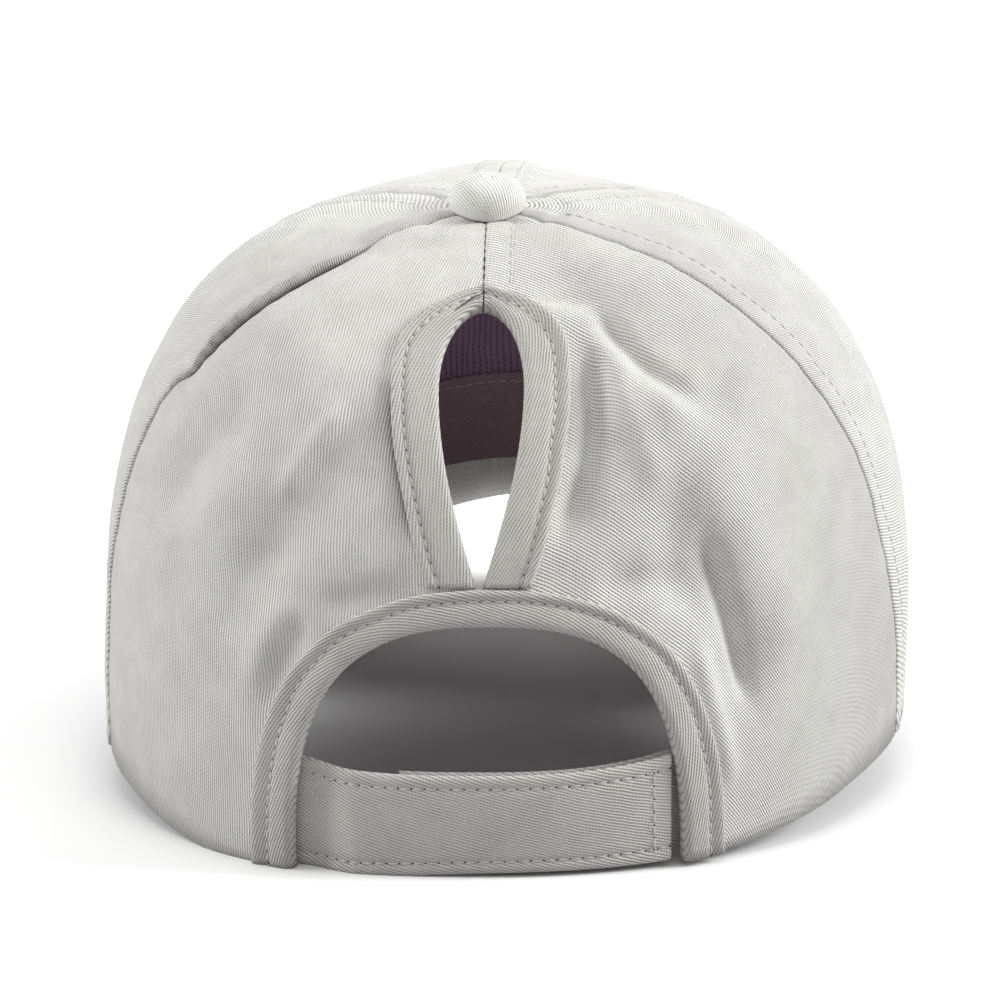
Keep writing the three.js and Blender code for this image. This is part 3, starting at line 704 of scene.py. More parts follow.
def twill(name, color, depth=0.13, shade=0.26, uneven=0.03, sheen=0.15, pitch=RIB_PITCH):
    """Cotton twill: ribs that lie at right angles to the weave's first coordinate, with painted shade
    that darkens the grooves between them.
    """
    material, nodes, principled = new_material(name)
    across, along = weave_places(nodes)
    space = nodes.add("ShaderNodeTexCoord").outputs["Object"]
    waver = nodes.math("MULTIPLY", nodes.noise(space, 260, 2), 0.6)
    waver = nodes.math("MULTIPLY_ADD", nodes.noise(space, 45, 1), 2.5, waver)
    phase = nodes.math("ADD", nodes.math("DIVIDE", across, pitch), waver)
    rib = nodes.wave(phase)
    number = nodes.math("FLOOR", phase)
    shift = nodes.math("MULTIPLY", number, 0.37)
    step = nodes.math("ADD", nodes.math("DIVIDE", along, pitch * 1.15), shift)
    bead = nodes.wave(step)
    groove = nodes.math("POWER", nodes.math("SUBTRACT", 1.0, rib), 2.2)
    # Groove depth and the grooves' painted shade vary at random over the cloth.
    groove_wear_and_shade = nodes.span(nodes.noise(space, 130, 3, 0.6), 0.35, 0.65, 0.75, 1.15)
    broken = nodes.math("MULTIPLY_ADD", bead, 0.6, 0.4)
    groove_dots_and_shade = nodes.math("MULTIPLY", nodes.math("MULTIPLY", groove, groove_wear_and_shade), broken)
    fibre = nodes.noise(space, 2600, 3, 0.7)
    cloud = nodes.noise(space, 38, 4, 0.6)
    # Painted shade: the grooves between the ribs are darkened in colour, by up to shade times 2.2.
    dark = tuple(channel * (1 - shade * 2.2) for channel in color)
    tone = nodes.mix(groove_dots_and_shade, color, dark)
    light = nodes.math("ADD", nodes.math("MULTIPLY", cloud, uneven * 2), 1 - uneven)
    fuzz = nodes.math("MULTIPLY_ADD", fibre, 0.4, 0.8)
    vary = nodes.math("MULTIPLY", light, fuzz)
    combine = nodes.add("ShaderNodeVectorMath", operation="SCALE")
    nodes.plug(tone, combine.inputs[0])
    nodes.plug(vary, combine.inputs["Scale"])
    nodes.plug(combine.outputs[0], principled.inputs["Base Color"])
    height = nodes.math("SUBTRACT", nodes.math("MULTIPLY_ADD", fibre, 0.25, rib), groove_dots_and_shade)
    nodes.roughen(principled, height, 0.9, depth)
    set_inputs(principled, roughness=0.9, specular_ior_level=0.2, sheen_weight=sheen, sheen_roughness=0.5)
    return material


def plain_cloth(name, color, scale=900, depth=0.1, uneven=0.12, roughness=0.95):
    """Thread, fleece and nylon: uneven in tone and with a fine rough surface."""
    material, nodes, principled = new_material(name)
    space = nodes.add("ShaderNodeTexCoord").outputs["Object"]
    fibre = nodes.noise(space, scale, 4, 0.7)
    dark = tuple(channel * (1 - 2 * uneven) for channel in color)
    nodes.plug(nodes.mix(fibre, dark, color), principled.inputs["Base Color"])
    nodes.roughen(principled, fibre, 0.6, depth)
    set_inputs(principled, roughness=roughness, specular_ior_level=0.15)
    return material


CROWN_COLOR = (0.76, 0.75, 0.722)
TAPE_COLOR = (0.62, 0.606, 0.576)
STRAP_COLOR = (0.7, 0.683, 0.65)
BRIM_COLOR = (0.74, 0.725, 0.69)
# The crown's cloth painted lighter for the button: painted light on the button's side that faces the
# camera.
BUTTON_PAINTED_LIGHT_COLOR = (0.86, 0.85, 0.82)
BAND_COLOR = (0.2, 0.142, 0.158)
LINING_COLOR = (0.17, 0.118, 0.172)

crown_twill = twill("crown_twill", CROWN_COLOR)
tape_twill = twill("tape_twill", TAPE_COLOR)
strap_twill = twill("strap_twill", STRAP_COLOR)
button_twill = twill("button_twill", BUTTON_PAINTED_LIGHT_COLOR, shade=0.26)
brim_twill = twill("brim_twill", BRIM_COLOR)
band_twill = twill("sweatband_twill", BAND_COLOR, depth=0.08)
lining_weave = twill("lining_weave", LINING_COLOR, depth=0.12, shade=0.25, pitch=1.1)
crown_thread = plain_cloth("crown_thread", (0.68, 0.67, 0.645), uneven=0.08)
brim_thread = plain_cloth("brim_thread", (0.5, 0.49, 0.465), uneven=0.08)
band_thread = plain_cloth("band_thread", (0.3, 0.27, 0.26), uneven=0.1)
# Near black: painted shade for the needle holes and for the crease of the rear seam.
painted_shade_dark = plain_cloth("needle_hole_dark", (0.1, 0.097, 0.093), uneven=0.2)
nylon = plain_cloth("hook_and_loop_nylon", (0.035, 0.032, 0.032), scale=1500, depth=0.3, uneven=0.3)

# Gores

EDGE_STEPS = np.array([0, 0.15, 0.35, 0.6, 0.9, 1.3, 1.9, 2.8, 3.8, 4.7, 5.2, 5.6, 6.0, 6.5, 7.4])
GORE_ROWS = 150
GORE_MIDDLE = 56
EDGE_FULL = 26
SEAM_OPENING = 0.03


def columns_between(width, middle):
    """Shares across a row, close together beside both edges."""
    edge = EDGE_STEPS * np.minimum(1, width / EDGE_FULL)[..., None] / width[..., None]
    low, high = edge[..., -1:], 1 - edge[..., -1:]
    inside = lerp(low, high, np.linspace(0, 1, middle + 2)[1:-1])
    return np.concatenate([edge, inside, 1 - edge[..., ::-1]], -1)


def weave_turned(across, along, degrees):
    """A place in a weave that is turned in its plane."""
    a = math.radians(degrees)
    return np.stack([across * math.cos(a) + along * math.sin(a),
                     along * math.cos(a) - across * math.sin(a)], -1)


def weave_straight(at, up, turned):
    """A place in the weave from arc lengths, with the ribs turned from upright."""
    across = np.radians(at) * mm_per_degree(at, up) * 180 / math.pi
    return weave_turned(across, up * PROFILE_LENGTH, turned)


def panel(node, at, up, weave):
    """The cloth of one gore through a grid of angles and shares up."""
    fine = fine_relief(at, up) + seam_relief(at, up)
    outer = cloth(at, up, 0, fine)
    inner = cloth(at, up, CLOTH, np.minimum(fine + FOLLOW_FROM, 0))
    dress(shell(f"{node}_cloth", outer, inner, weave, crown_twill), "crown_twill", node)


def gore(node, first, second, ribs):
    """A side or front gore between two seams, with ribs turned from upright."""
    v = np.linspace(0, 1, GORE_ROWS)
    start, end = seam_at(first, v), seam_at(second, v)
    sign = np.sign((end - start)[0])
    centre = (start + end) / 2
    width = np.abs(end - start) * mm_per_degree(centre, v * top_of_profile(centre))
    s = columns_between(width, GORE_MIDDLE)
    angle = lerp(start[:, None], end[:, None], s)
    up = v[:, None] * top_of_profile(angle)
    trim = SEAM_OPENING / mm_per_degree(angle, up)
    at = lerp(start[:, None] + sign * trim, end[:, None] - sign * trim, s)
    panel(node, at, up, weave_straight(at - centre[0], up, ribs))


def slit_half(along):
    low = 0.08 + 0.92 * np.sin(math.pi / 2 * np.clip(along / 0.68, 0, 1))
    high = np.maximum(1 - np.clip((along - 0.68) / 0.32, 0, 1) ** 2, 0) ** 0.56
    return np.where(along < 0.68, low, high)


def slit_tape(along):
    return 1 - 0.45 * smooth((along - 0.78) / 0.22) ** 1.5


def slit_point(along, out, turn, top_turn=1.0):
    """A place beside the slit, out from its edge by a distance in the cloth."""
    along, out = np.broadcast_arrays(np.asarray(along, float), np.asarray(out, float))

    def edge(share):
        half = np.maximum(slit_half(share) * SLIT_WIDTH / 2, GAP / 2)
        return np.stack([half, SLIT_FOOT + share * SLIT_LENGTH], -1)

    tangent = edge(np.minimum(along + 0.03, 1)) - edge(np.maximum(along - 0.03, 0))
    normal = unit(np.stack([tangent[..., 1], -tangent[..., 0]], -1))
    normal = lerp(normal, np.array([1.0, 0.0]), (1 - smooth(along / 0.15))[..., None])
    upright = np.array([1.0 - top_turn, top_turn])
    normal = unit(lerp(normal, upright, smooth((along - 0.88) / 0.12)[..., None]))
    x, high = np.moveaxis(edge(along) + normal * out[..., None], -1, 0)
    return rear_seam(high) + turn * x, high


def arch_point(angle, share):
    """The arch's edge at an angle round it, out from the opening by a share of the tape."""
    half = ARCH_OPENING_WIDTH / 2 + share * ARCH_TAPE_AT_LEGS
    tall = ARCH_OPENING_HEIGHT + share * ARCH_TAPE_AT_TOP
    power = 2 / lerp(ARCH_SQUARENESS, ARCH_TAPE_SQUARENESS, share)
    turn = np.radians(angle)
    side = half * signed_power(np.cos(turn), power) + ARCH_SHIFT_RIGHT
    return side, tall * np.abs(np.sin(turn)) ** power


def arch_tape(angle):
    return lerp(ARCH_TAPE_AT_LEGS, ARCH_TAPE_AT_TOP, np.sin(np.radians(angle)) ** 2)


TAPE_WEB = TAPE_CLOTH + GAP
ARCH_ROWS = 70
SLIT_ROWS = 76
SEAM_ROWS = 44
REAR_MIDDLE = 86
STATION_POWER = 1.5


def rear_rows(turn):
    """Edge and tape places of a back gore's rows: up the arch, the slit and the rear seam."""
    foot_edge = slit_point(0, TAPE_WEB, turn)
    foot_tape = slit_point(0, SLIT_TAPE, turn)
    angle = np.linspace(0, 180, 2 * ARCH_ROWS + 1)
    if turn < 0:
        angle = angle[::-1]
    edge = np.stack(arch_point(angle, TAPE_WEB / arch_tape(angle)), -1)
    tape = np.stack(arch_point(angle, 1), -1)
    keep = turn * (edge[:, 0] - foot_edge[0]) > 0.5
    edge, tape = edge[keep], tape[keep]
    edge = np.append(edge, [[foot_edge[0], ARCH_OPENING_HEIGHT + TAPE_WEB]], 0)
    tape = np.append(tape, [foot_tape], 0)
    beside = int((turn * (tape[:, 0] - foot_tape[0]) > 1).sum())
    share = (np.arange(len(tape) - beside) + 1) / (len(tape) - beside)
    tape[beside:] = lerp(tape[beside - 1], np.array(foot_tape), share[:, None])
    along = 1 - (1 - np.linspace(0, 1, SLIT_ROWS)) ** STATION_POWER
    slit_edge = np.stack(slit_point(along, TAPE_WEB, turn), -1)
    slit_over = np.stack(slit_point(along, SLIT_TAPE * slit_tape(along), turn, 0.6), -1)
    high = np.linspace(slit_over[-1, 1], BACK_LENGTH - TOP_HOLE_RADIUS, SEAM_ROWS + 1)[1:]
    seam = np.stack([rear_seam(high) + turn * SEAM_OPENING, high], -1)
    return np.concatenate([edge, slit_edge]), np.concatenate([tape, slit_over]), seam


def gap_between(start, end):
    """The straight distance between places on the crown."""
    first, second = (crown(place[..., 0], place[..., 1]) for place in (start, end))
    return np.linalg.norm(first - second, axis=-1)


def rear_gore(node, turn, weave):
    """A back gore, whose rows run from the arch, slit and rear seam out to its border seam."""
    border = "rear_right" if turn > 0 else "rear_left"
    edge, tape, seam = rear_rows(turn)
    starts = np.concatenate([edge, seam])
    walk = walked(starts)
    at, up = on_back(starts[:, 0], starts[:, 1])
    share = (walk / walk[-1] + up / top_of_profile(at)) / 2
    line = seam_at(border, share)
    end_up = share * top_of_profile(line)
    open_by = SEAM_OPENING + (GAPE_WIDTH * gape(end_up) if turn < 0 else 0)
    end_at = line - turn * open_by / mm_per_degree(line, end_up)
    start = np.stack([at, up], -1)
    end = np.stack([end_at, end_up], -1)
    tape_at, tape_up = on_back(tape[:, 0], tape[:, 1])
    second = np.stack([tape_at, tape_up], -1)
    second = np.concatenate([second, lerp(start, end, 0.1)[len(second):]])
    first_leg = gap_between(start, second)[:, None]
    second_leg = gap_between(second, end)[:, None]
    width = first_leg + second_leg
    distance = columns_between(width[:, 0], REAR_MIDDLE) * width
    lines = np.where(
        (distance < first_leg)[..., None],
        lerp(start[:, None], second[:, None], (distance / first_leg)[..., None]),
        lerp(second[:, None], end[:, None], ((distance - first_leg) / second_leg)[..., None]))
    at, up = np.moveaxis(lines, -1, 0)
    panel(node, at, up, weave(at, up))


def weave_left(at, up):
    """Upright ribs low on the left back panel, which lean over to the right higher up."""
    side = back_side(at, up)
    high = np.interp(up, UPS, REAR_HIGH)
    lean = 0.22 * np.maximum(high - 60, 0) ** 2 / 100
    return np.stack([side - lean, high], -1)


def weave_right(at, up):
    """Ribs that run down to the right on the right back panel, steeper away from the slit."""
    side = back_side(at, up)
    high = np.interp(up, UPS, REAR_HIGH)
    across = 0.28 * side + 0.0068 * side * side
    return np.stack([across + high * 0.8, side * 0.8 - high * 0.4], -1)


rear_gore("rear_left_panel", -1, weave_left)
rear_gore("rear_right_panel", 1, weave_right)
gore("side_left_panel", "rear_left", "front_left", -45)
gore("side_right_panel", "rear_right", "front_right", 70)
gore("front_left_panel", "front_left", "middle_left", 0)
gore("front_right_panel", "front_right", "middle", 0)

# Tapes

TAPE_ROW = 2.4
TAPE_ROW_LIFT = 0.8
TAPE_FLAT = -1.3


def tape_ring(width, row, lift):
    """A folded tape's outline: out from the opening and deep in the cloth, outside to inside."""
    skin = [
        (width, 0.2), (width, -0.8), (width - 0.2, -1.35), (width - 0.6, -1.66),
        (width - 1.1, -1.7), (width - 1.7, -1.45), (width - row + 0.35, -0.95),
        (width - row, -0.78), (width - row - 0.35, -0.92), (width - row - 0.9, -1.2),
        (width - row - 1.5, -1.34), (2.6, -1.36), (1.9, -1.36), (1.3, -1.28), (0.7, -1.05),
        (0.3, -0.65), (0.06, -0.05), (0, CLOTH / 2),
    ]
    skin = [(out, deep + min(deep - TAPE_FLAT, 0) * (lift - 1)) for out, deep in skin]
    inside = [(out, CLOTH - deep) for out, deep in skin[::-1][1:]]
    outline = skin + inside
    count = len(outline)
    half = [(max(out, 1.2), 0.12) for out, _ in skin[:13]]
    web = [(1.2, lerp(0.2, CLOTH - 0.2, k / (count - 27))) for k in range(count - 26)]
    other = [(out, CLOTH - deep) for out, deep in half[::-1]]
    return np.array(outline + (half + web + other)[::-1])


def tape_piece(node, place, width, row, weave, lift):
    """A folded tape lofted along an opening: place gives side and high for out distances."""
    rings = np.array([tape_ring(w, r, lift) for w, r in zip(width, row)])
    side, high = place(rings[..., 0])
    at, up = on_back(side, high)
    points = cloth(at, up, rings[..., 1])
    along = walked(points[:, 17])[:, None] * np.ones(rings.shape[1])
    piece = loft(f"{node}_cloth", points, weave(rings[..., 0], along), tape_twill)
    dress(piece, "tape_twill", node)


def weave_tape(turned):
    return lambda out, along: weave_turned(out, along, turned)


ARCH_STEPS = 170
SLIT_STEPS = 90
arch_angles = np.linspace(0, 180, ARCH_STEPS)
arch_width = arch_tape(arch_angles) + 0.18 * wobble(arch_angles, 21, 24)
arch_row = TAPE_ROW + 0.15 * wobble(arch_angles, 22, 30)
arch_row += np.where(arch_angles < 90, 0.8, 1.6) * np.cos(np.radians(arch_angles)) ** 2


def arch_place(out):
    return arch_point(arch_angles[:, None], out / arch_tape(arch_angles)[:, None])


tape_piece("arch_binding", arch_place, arch_width, arch_row, weave_tape(-18), 0.6)

slit_along = 1 - (1 - np.linspace(0, 1, SLIT_STEPS)) ** STATION_POWER
slit_rows = {}
for side_name, turn, seed in (("left", -1, 31), ("right", 1, 33)):
    width = SLIT_TAPE * slit_tape(slit_along) + 0.15 * wobble(slit_along, seed, 0.3)
    row = TAPE_ROW + 0.15 * wobble(slit_along, seed + 1, 0.4)
    row = np.minimum(row + (0.5 + 0.5 * turn) * smooth(slit_along / 0.7), width / 2.4)
    slit_rows[turn] = (width, row)
    tape_piece(
        f"slit_binding_{side_name}",
        lambda out, turn=turn: slit_point(slit_along[:, None], out, turn),
        width, row, weave_tape(-turn * 15), 0.5 + 0.5 * turn)


def sew_tape(place, width, row):
    sew_cloth(*on_back(*place(width - row)), -TAPE_ROW_LIFT)


sew_tape(lambda out: arch_point(arch_angles, out / arch_tape(arch_angles)), arch_width, arch_row)
for turn, (width, row) in slit_rows.items():
    sew_tape(lambda out, turn=turn: slit_point(slit_along, out, turn), width, row)

# Strap

STRAP_STEPS = 120


def opening_edge(turn, high):
    share = (1 - (high / ARCH_OPENING_HEIGHT) ** ARCH_SQUARENESS) ** (1 / ARCH_SQUARENESS)
    return turn * ARCH_OPENING_WIDTH * share / 2 + ARCH_SHIFT_RIGHT


LEG_LEFT = opening_edge(-1, STRAP_HEIGHT)
LEG_RIGHT = opening_edge(1, STRAP_HEIGHT)
BEHIND_TAPE = CLOTH + GAP + TAPE_CLOTH + STRAP_TUCK_GAP
OUTER_STRAP_BACK = STRAP_DEPTH + STRAP_CLOTH
HOOK_DEPTH = OUTER_STRAP_BACK + GAP
LOOP_DEPTH = HOOK_DEPTH + PATCH_CLOTH + GAP
INNER_STRAP_DEPTH = LOOP_DEPTH + PATCH_CLOTH + GAP
STRAP_HEM = 2.8
STRAP_RIBS_TURN = 17
INNER_STRAP_LOWER = 0.5
STRAP_STEPS_HIGH = np.concatenate([
    [0, 0.12, 0.35, 0.7, 1.1, 1.6, 2.2, 2.5, 2.8, 3.1, 3.5, 4.2], np.linspace(5, 10.75, 8)])


def band_form(name, from_side, to_side, low, high, depth, thickness, rows, material, turned):
    """A flat band across the arch with rounded edges and sewn rows, as a loft along its length."""
    inset = np.array([0, 0.15, 0.4, 0.8, 1.3])
    between = np.linspace(from_side + inset[-1], to_side - inset[-1], STRAP_STEPS)[1:-1]
    side = np.concatenate([from_side + inset, between, to_side - inset[::-1]])
    lift = STRAP_STEPS_HIGH / 10.75 * (high - low) / 2
    lift = np.where(STRAP_STEPS_HIGH < 5, STRAP_STEPS_HIGH, lift)
    levels = np.concatenate([low + lift, high - lift[::-1][1:]])
    end = np.minimum(np.abs(side - from_side), np.abs(side - to_side))[:, None]
    off = np.minimum(levels - low, high - levels)[None, :]
    corner = np.maximum(1 - off / 0.8, 0) ** 2 + np.maximum(1 - end / 0.8, 0) ** 2
    roll = (thickness / 2 - 0.05) * (1 - np.sqrt(np.maximum(1 - corner, 0)))
    row = sum(0.3 * near(off - place, 0.45) for place in rows) if rows else 0 * off
    puff = 0.12 * near(off - 1.5, 0.7) if rows else 0 * off
    at, up = on_back(side[:, None], levels[None, :])
    base = depth(side)[:, None]
    outer = cloth(at, up, base + roll + row - puff)
    inner = cloth(at, up, base + thickness - roll - row * 0.5)
    across, rise = np.broadcast_arrays(side[:, None], levels[None, :])
    return shell(name, outer, inner, weave_turned(rise, across, turned), material)


def strap_bend(side, start, length):
    return smooth((side - start) / length)


def outer_depth(side):
    return lerp(BEHIND_TAPE, STRAP_DEPTH, strap_bend(side, LEG_LEFT, STRAP_BEND))


def inner_depth(side):
    return lerp(INNER_STRAP_DEPTH, BEHIND_TAPE, strap_bend(side, LEG_RIGHT, STRAP_TUCK))


OUTER_END = LEG_RIGHT - GAP
for node, from_side, to_side, top_at, depth in (
        ("outer_strap", LEG_LEFT - STRAP_TUCK, OUTER_END, STRAP_HEIGHT, outer_depth),
        ("inner_strap", LEG_RIGHT - INNER_STRAP_LENGTH, LEG_RIGHT + STRAP_TUCK,
         STRAP_HEIGHT - INNER_STRAP_LOWER, inner_depth)):
    strap = band_form(f"{node}_cloth", from_side, to_side, 0, top_at, depth, STRAP_CLOTH,
                      [STRAP_HEM], strap_twill, STRAP_RIBS_TURN)
    dress(strap, "tape_twill", node)
PATCH_TO = LEG_RIGHT - PATCH_MARGIN
for node, patch_depth in (("hook_patch", HOOK_DEPTH), ("loop_patch", LOOP_DEPTH)):
    patch = band_form(f"{node}_nylon", PATCH_TO - PATCH_LENGTH, PATCH_TO, PATCH_MARGIN,
                      STRAP_HEIGHT - PATCH_MARGIN,
                      lambda side, depth=patch_depth: np.full(side.shape, depth),
                      PATCH_CLOTH, [], nylon, 0)
    dress(patch, "fastener", node)

strap_side = np.linspace(LEG_LEFT + 2, OUTER_END - 0.5, 120)
for level in (STRAP_HEM, STRAP_HEIGHT - STRAP_HEM):
    sew_cloth(*on_back(strap_side, level), outer_depth(strap_side) + 0.26)

end_high = np.linspace(STRAP_HEM, STRAP_HEIGHT - STRAP_HEM, 30)
sew_cloth(*on_back(OUTER_END - 4.2, end_high), STRAP_DEPTH + 0.02)

# Sweatband and lining

BAND_DEPTH = CLOTH + LINING_GAP + LINING_CLOTH + LINING_GAP
band_from = on_back(*arch_point(0, 1))[0]
band_to = 360 + on_back(*arch_point(180, 1))[0]
band_at = np.linspace(float(band_from), float(band_to), 300)
band_high = np.concatenate([
    [1, 1.15, 1.4, 1.9, 2.6], np.linspace(3.5, 19, 12), np.arange(20, 23.6, 0.5), [23.85, 24]])
band_off = np.minimum(band_high - SWEATBAND_LIFT, SWEATBAND_HEIGHT - band_high)[None, :]
at = np.repeat(band_at[:, None], len(band_high), 1)
up = up_from_rim(at, band_high[None, :])
roll = 0.55 * (1 - np.sqrt(np.maximum(1 - np.maximum(1 - band_off / 0.6, 0) ** 2, 0)))
stitch_groove = 0.25 * near(band_off - 2.2, 0.5)
band_uv = np.stack([band_high[None, :] * 0.9 + at * 0.4, at * 1.4 - band_high[None, :] * 0.4], -1)
band_face = cloth(at, up, BAND_DEPTH + SWEATBAND_CLOTH - roll - stitch_groove)
dress(shell("sweatband_cloth_band", band_face, cloth(at, up, BAND_DEPTH + roll), band_uv, band_twill),
      "sweatband_cloth", "sweatband")
row_up = up_from_rim(band_at, SWEATBAND_HEIGHT - 2.2)
sew_cloth(band_at, row_up, BAND_DEPTH + SWEATBAND_CLOTH - 0.2, face=-1, thread="band_thread", holes=False)

v = np.linspace(LINING_FROM, LINING_TO, 60)
right_seam, left_seam = seam_at("front_right", v), seam_at("front_left", v)
right_edge = right_seam + LINING_MARGIN / mm_per_degree(right_seam, v)
left_edge = 360 + left_seam - LINING_MARGIN / mm_per_degree(left_seam, v)
at = lerp(right_edge[:, None], left_edge[:, None], np.linspace(0, 1, 90)[None, :])
up = np.repeat(v[:, None], 90, 1)
lining_uv = np.stack([np.radians(at) * 70, up * PROFILE_LENGTH], -1)
LINING_BACK = CLOTH + LINING_GAP
LINING_FACE = LINING_BACK + LINING_CLOTH
dress(shell("front_lining_weave", cloth(at, up, LINING_FACE), cloth(at, up, LINING_BACK),
            lining_uv, lining_weave), "lining_cloth", "front_lining")
for offset in (-4.5, 4.5):
    line_up = np.linspace(0.2, 0.88, 80)
    line_at = 180 + offset / mm_per_degree(np.full(80, 180.0), line_up)
    sew_cloth(line_at, line_up, LINING_FACE, face=-1, thread="band_thread", holes=False)

# Brim

BRIM_ROW_FIRST = 4.5
BRIM_ROW_STEP = 8
BRIM_ROWS = 7


def brim_edge(share):
    end = crown(180 - BRIM_SPAN, 0)
    turn = share * math.pi / 2
    x = (end[0] + BRIM_FLARE) * signed_power(np.sin(turn), 2 / BRIM_SQUARENESS)
    y = lerp(end[1], FRONT_LENGTH + BRIM_LENGTH, np.maximum(np.cos(turn), 0) ** (2 / BRIM_SQUARENESS))
    return x, y


def brim_point(share, out, over):
    """A place on the brim: share from side to side, out from the crown to the edge."""
    share, out, over = np.broadcast_arrays(share, out, over)
    at = 180 - share * BRIM_SPAN
    slope = np.radians(lerp(BRIM_SLOPE_MIDDLE, BRIM_SLOPE_SIDES, np.abs(share) ** BRIM_SLOPE_POWER))
    rise = over / np.cos(slope)
    foot = cloth(at, np.zeros(at.shape), -GAP)
    sewn_up = sample_rim(at, rise)
    sewn = cloth(at, sewn_up, -GAP)
    x, y = brim_edge(share)
    run = np.hypot(x - foot[..., 0], y - foot[..., 1])
    return np.stack([
        lerp(sewn[..., 0], x, out),
        lerp(sewn[..., 1], y, out),
        lerp(sewn[..., 2], foot[..., 2] - run * np.tan(slope) + rise, out),
    ], -1), run


RIM_ATS = np.linspace(100, 260, 161)
RIM_UPS = up_from_rim(RIM_ATS, 1.0)


def sample_rim(at, rise):
    """The share up at a small height above the rim near the brim."""
    return np.interp(at, RIM_ATS, RIM_UPS) * np.maximum(rise, 0)


brim_share = np.sin(np.linspace(-1, 1, 261) * math.pi / 2) * 0.35 + np.linspace(-1, 1, 261) * 0.65
edge_out = np.array([0, 0.002, 0.005, 0.01, 0.017])
brim_out = np.concatenate([np.linspace(0, 0.975, 96), 1 - edge_out[::-1]])
share_grid, out_grid = np.meshgrid(brim_share, brim_out, indexing="ij")
_, run = brim_point(share_grid, out_grid, 0.0)
from_edge = run * (1 - out_grid)
row_places = [BRIM_ROW_FIRST + BRIM_ROW_STEP * k for k in range(BRIM_ROWS)]
grooves = sum(0.4 * near(from_edge - place, 0.9) for place in row_places)
edge_roll = 1.45 * (1 - np.sqrt(np.maximum(1 - np.maximum(1 - from_edge / 1.5, 0) ** 2, 0)))
top, _ = brim_point(share_grid, out_grid, BRIM_THICKNESS - grooves - edge_roll)
under, _ = brim_point(share_grid, out_grid, grooves + edge_roll)
across_brim = walked(top)
across_brim -= across_brim[len(brim_share) // 2]
brim_uv = np.stack([across_brim, from_edge], -1)
dress(shell("brim_cloth", top, under, brim_uv, brim_twill), "brim_twill", "brim")
for place in row_places:
    share = np.linspace(-0.985, 0.985, 400)
    run = brim_point(share, 1.0, 0.0)[1]
    out = 1 - place / np.maximum(run, 1e-3)
    keep = out > 0.03
    share, out = share[keep], out[keep]
    for over, sign in ((BRIM_THICKNESS - 0.38, 1), (0.38, -1)):
        line, _ = brim_point(share, out, over)
        ahead = np.gradient(line, axis=0)
        inward, _ = brim_point(share, out - 0.02, over)
        normal = unit(np.cross(ahead, line - inward))
        normal *= np.sign(normal[:, 2:3]) * sign
        sew(line, normal, thread="brim_thread", pitch=3.2, holes=False)

# Button

button_at = np.linspace(0, 360, 73)[:-1]
DOWN = np.linspace(0, 0.4, 121)
button_lengths = walked(crown(button_at[:, None], 1 - DOWN[None, :]), axis=1)


def button_underside(distance):
    up = 1 - np.array([np.interp(distance, row, DOWN) for row in button_lengths])
    return cloth(button_at, up, -GAP)


button_rim = button_underside(BUTTON_RADIUS)
button_middle = crown(0, 1).copy()
button_middle[2] = HEIGHT + GAP
button_rings = [button_underside(BUTTON_RADIUS * share) for share in (0.02, 0.5, 0.9, 1)]
for share in np.concatenate([[0.0, 0.02, 0.05, 0.1], np.linspace(0.16, 0.97, 16)]):
    turn = share * math.pi / 2
    ring = lerp(button_rim, button_middle, 1 - math.cos(turn) ** BUTTON_ROUNDNESS)
    ring[:, 2] = lerp(button_rim[:, 2] + BUTTON_EDGE * min(share * 8 + 0.3, 1),
                      button_middle[2] + BUTTON_HEIGHT, math.sin(turn))
    button_rings.append(ring)
rings = np.array(button_rings)
top_shift = rings - button_middle
round_top = walked(rings[::-1])[::-1]
heading = np.arctan2(top_shift[..., 1], top_shift[..., 0]) + math.radians(-28)
button_uv = np.stack([round_top * np.cos(heading), round_top * np.sin(heading)], -1)
dress(loft("top_button_cloth", rings, button_uv, button_twill), "crown_twill", "top_button")

# Seam stitches

BOTH_SIDES = (-1, 1)
SEAM_ROW_SIDES = {
    "rear_right": (1,), "front_left": BOTH_SIDES, "front_right": BOTH_SIDES, "middle": BOTH_SIDES}
for seam, sides in SEAM_ROW_SIDES.items():
    share = np.linspace(0.02, 0.95, 200)
    for sign in sides:
        base = seam_at(seam, share)
        up = share * top_of_profile(base)
        at = base + sign * SEAM_ROW / mm_per_degree(base, up)
        sew_cloth(at, up, fine=fine_relief(at, up) + seam_relief(at, up), holes=False)
high = np.linspace(SLIT_FOOT + SLIT_LENGTH + 6, BACK_LENGTH - 9, 60)
at, up = on_back(rear_seam(high) + SEAM_ROW, high)
sew_cloth(at, up, fine=fine_relief(at, up) + seam_relief(at, up), holes=False)

# A near-black thread line on the rear seam itself: painted shade in the seam's crease.
high = np.linspace(SLIT_FOOT + SLIT_LENGTH - 0.6, BACK_LENGTH - 9, 60)
at, up = on_back(rear_seam(high), high)
sew_cloth(at, up, fine=seam_relief(at, up) + 0.1, thread="dark_thread", holes=False)

dress(sewn_piece("seam_thread", stitch_sets["dark_thread"], painted_shade_dark), "crown_twill")
dress(sewn_piece("crown_stitches", stitch_sets["crown_thread"], crown_thread), "crown_twill")
dress(sewn_piece("band_stitches", stitch_sets["band_thread"], band_thread), "sweatband_cloth")
dress(sewn_piece("brim_stitches", stitch_sets["brim_thread"], brim_thread), "brim_twill")
dress(hole_piece("needle_holes", painted_shade_dark), "crown_twill")

# Floor, light and camera

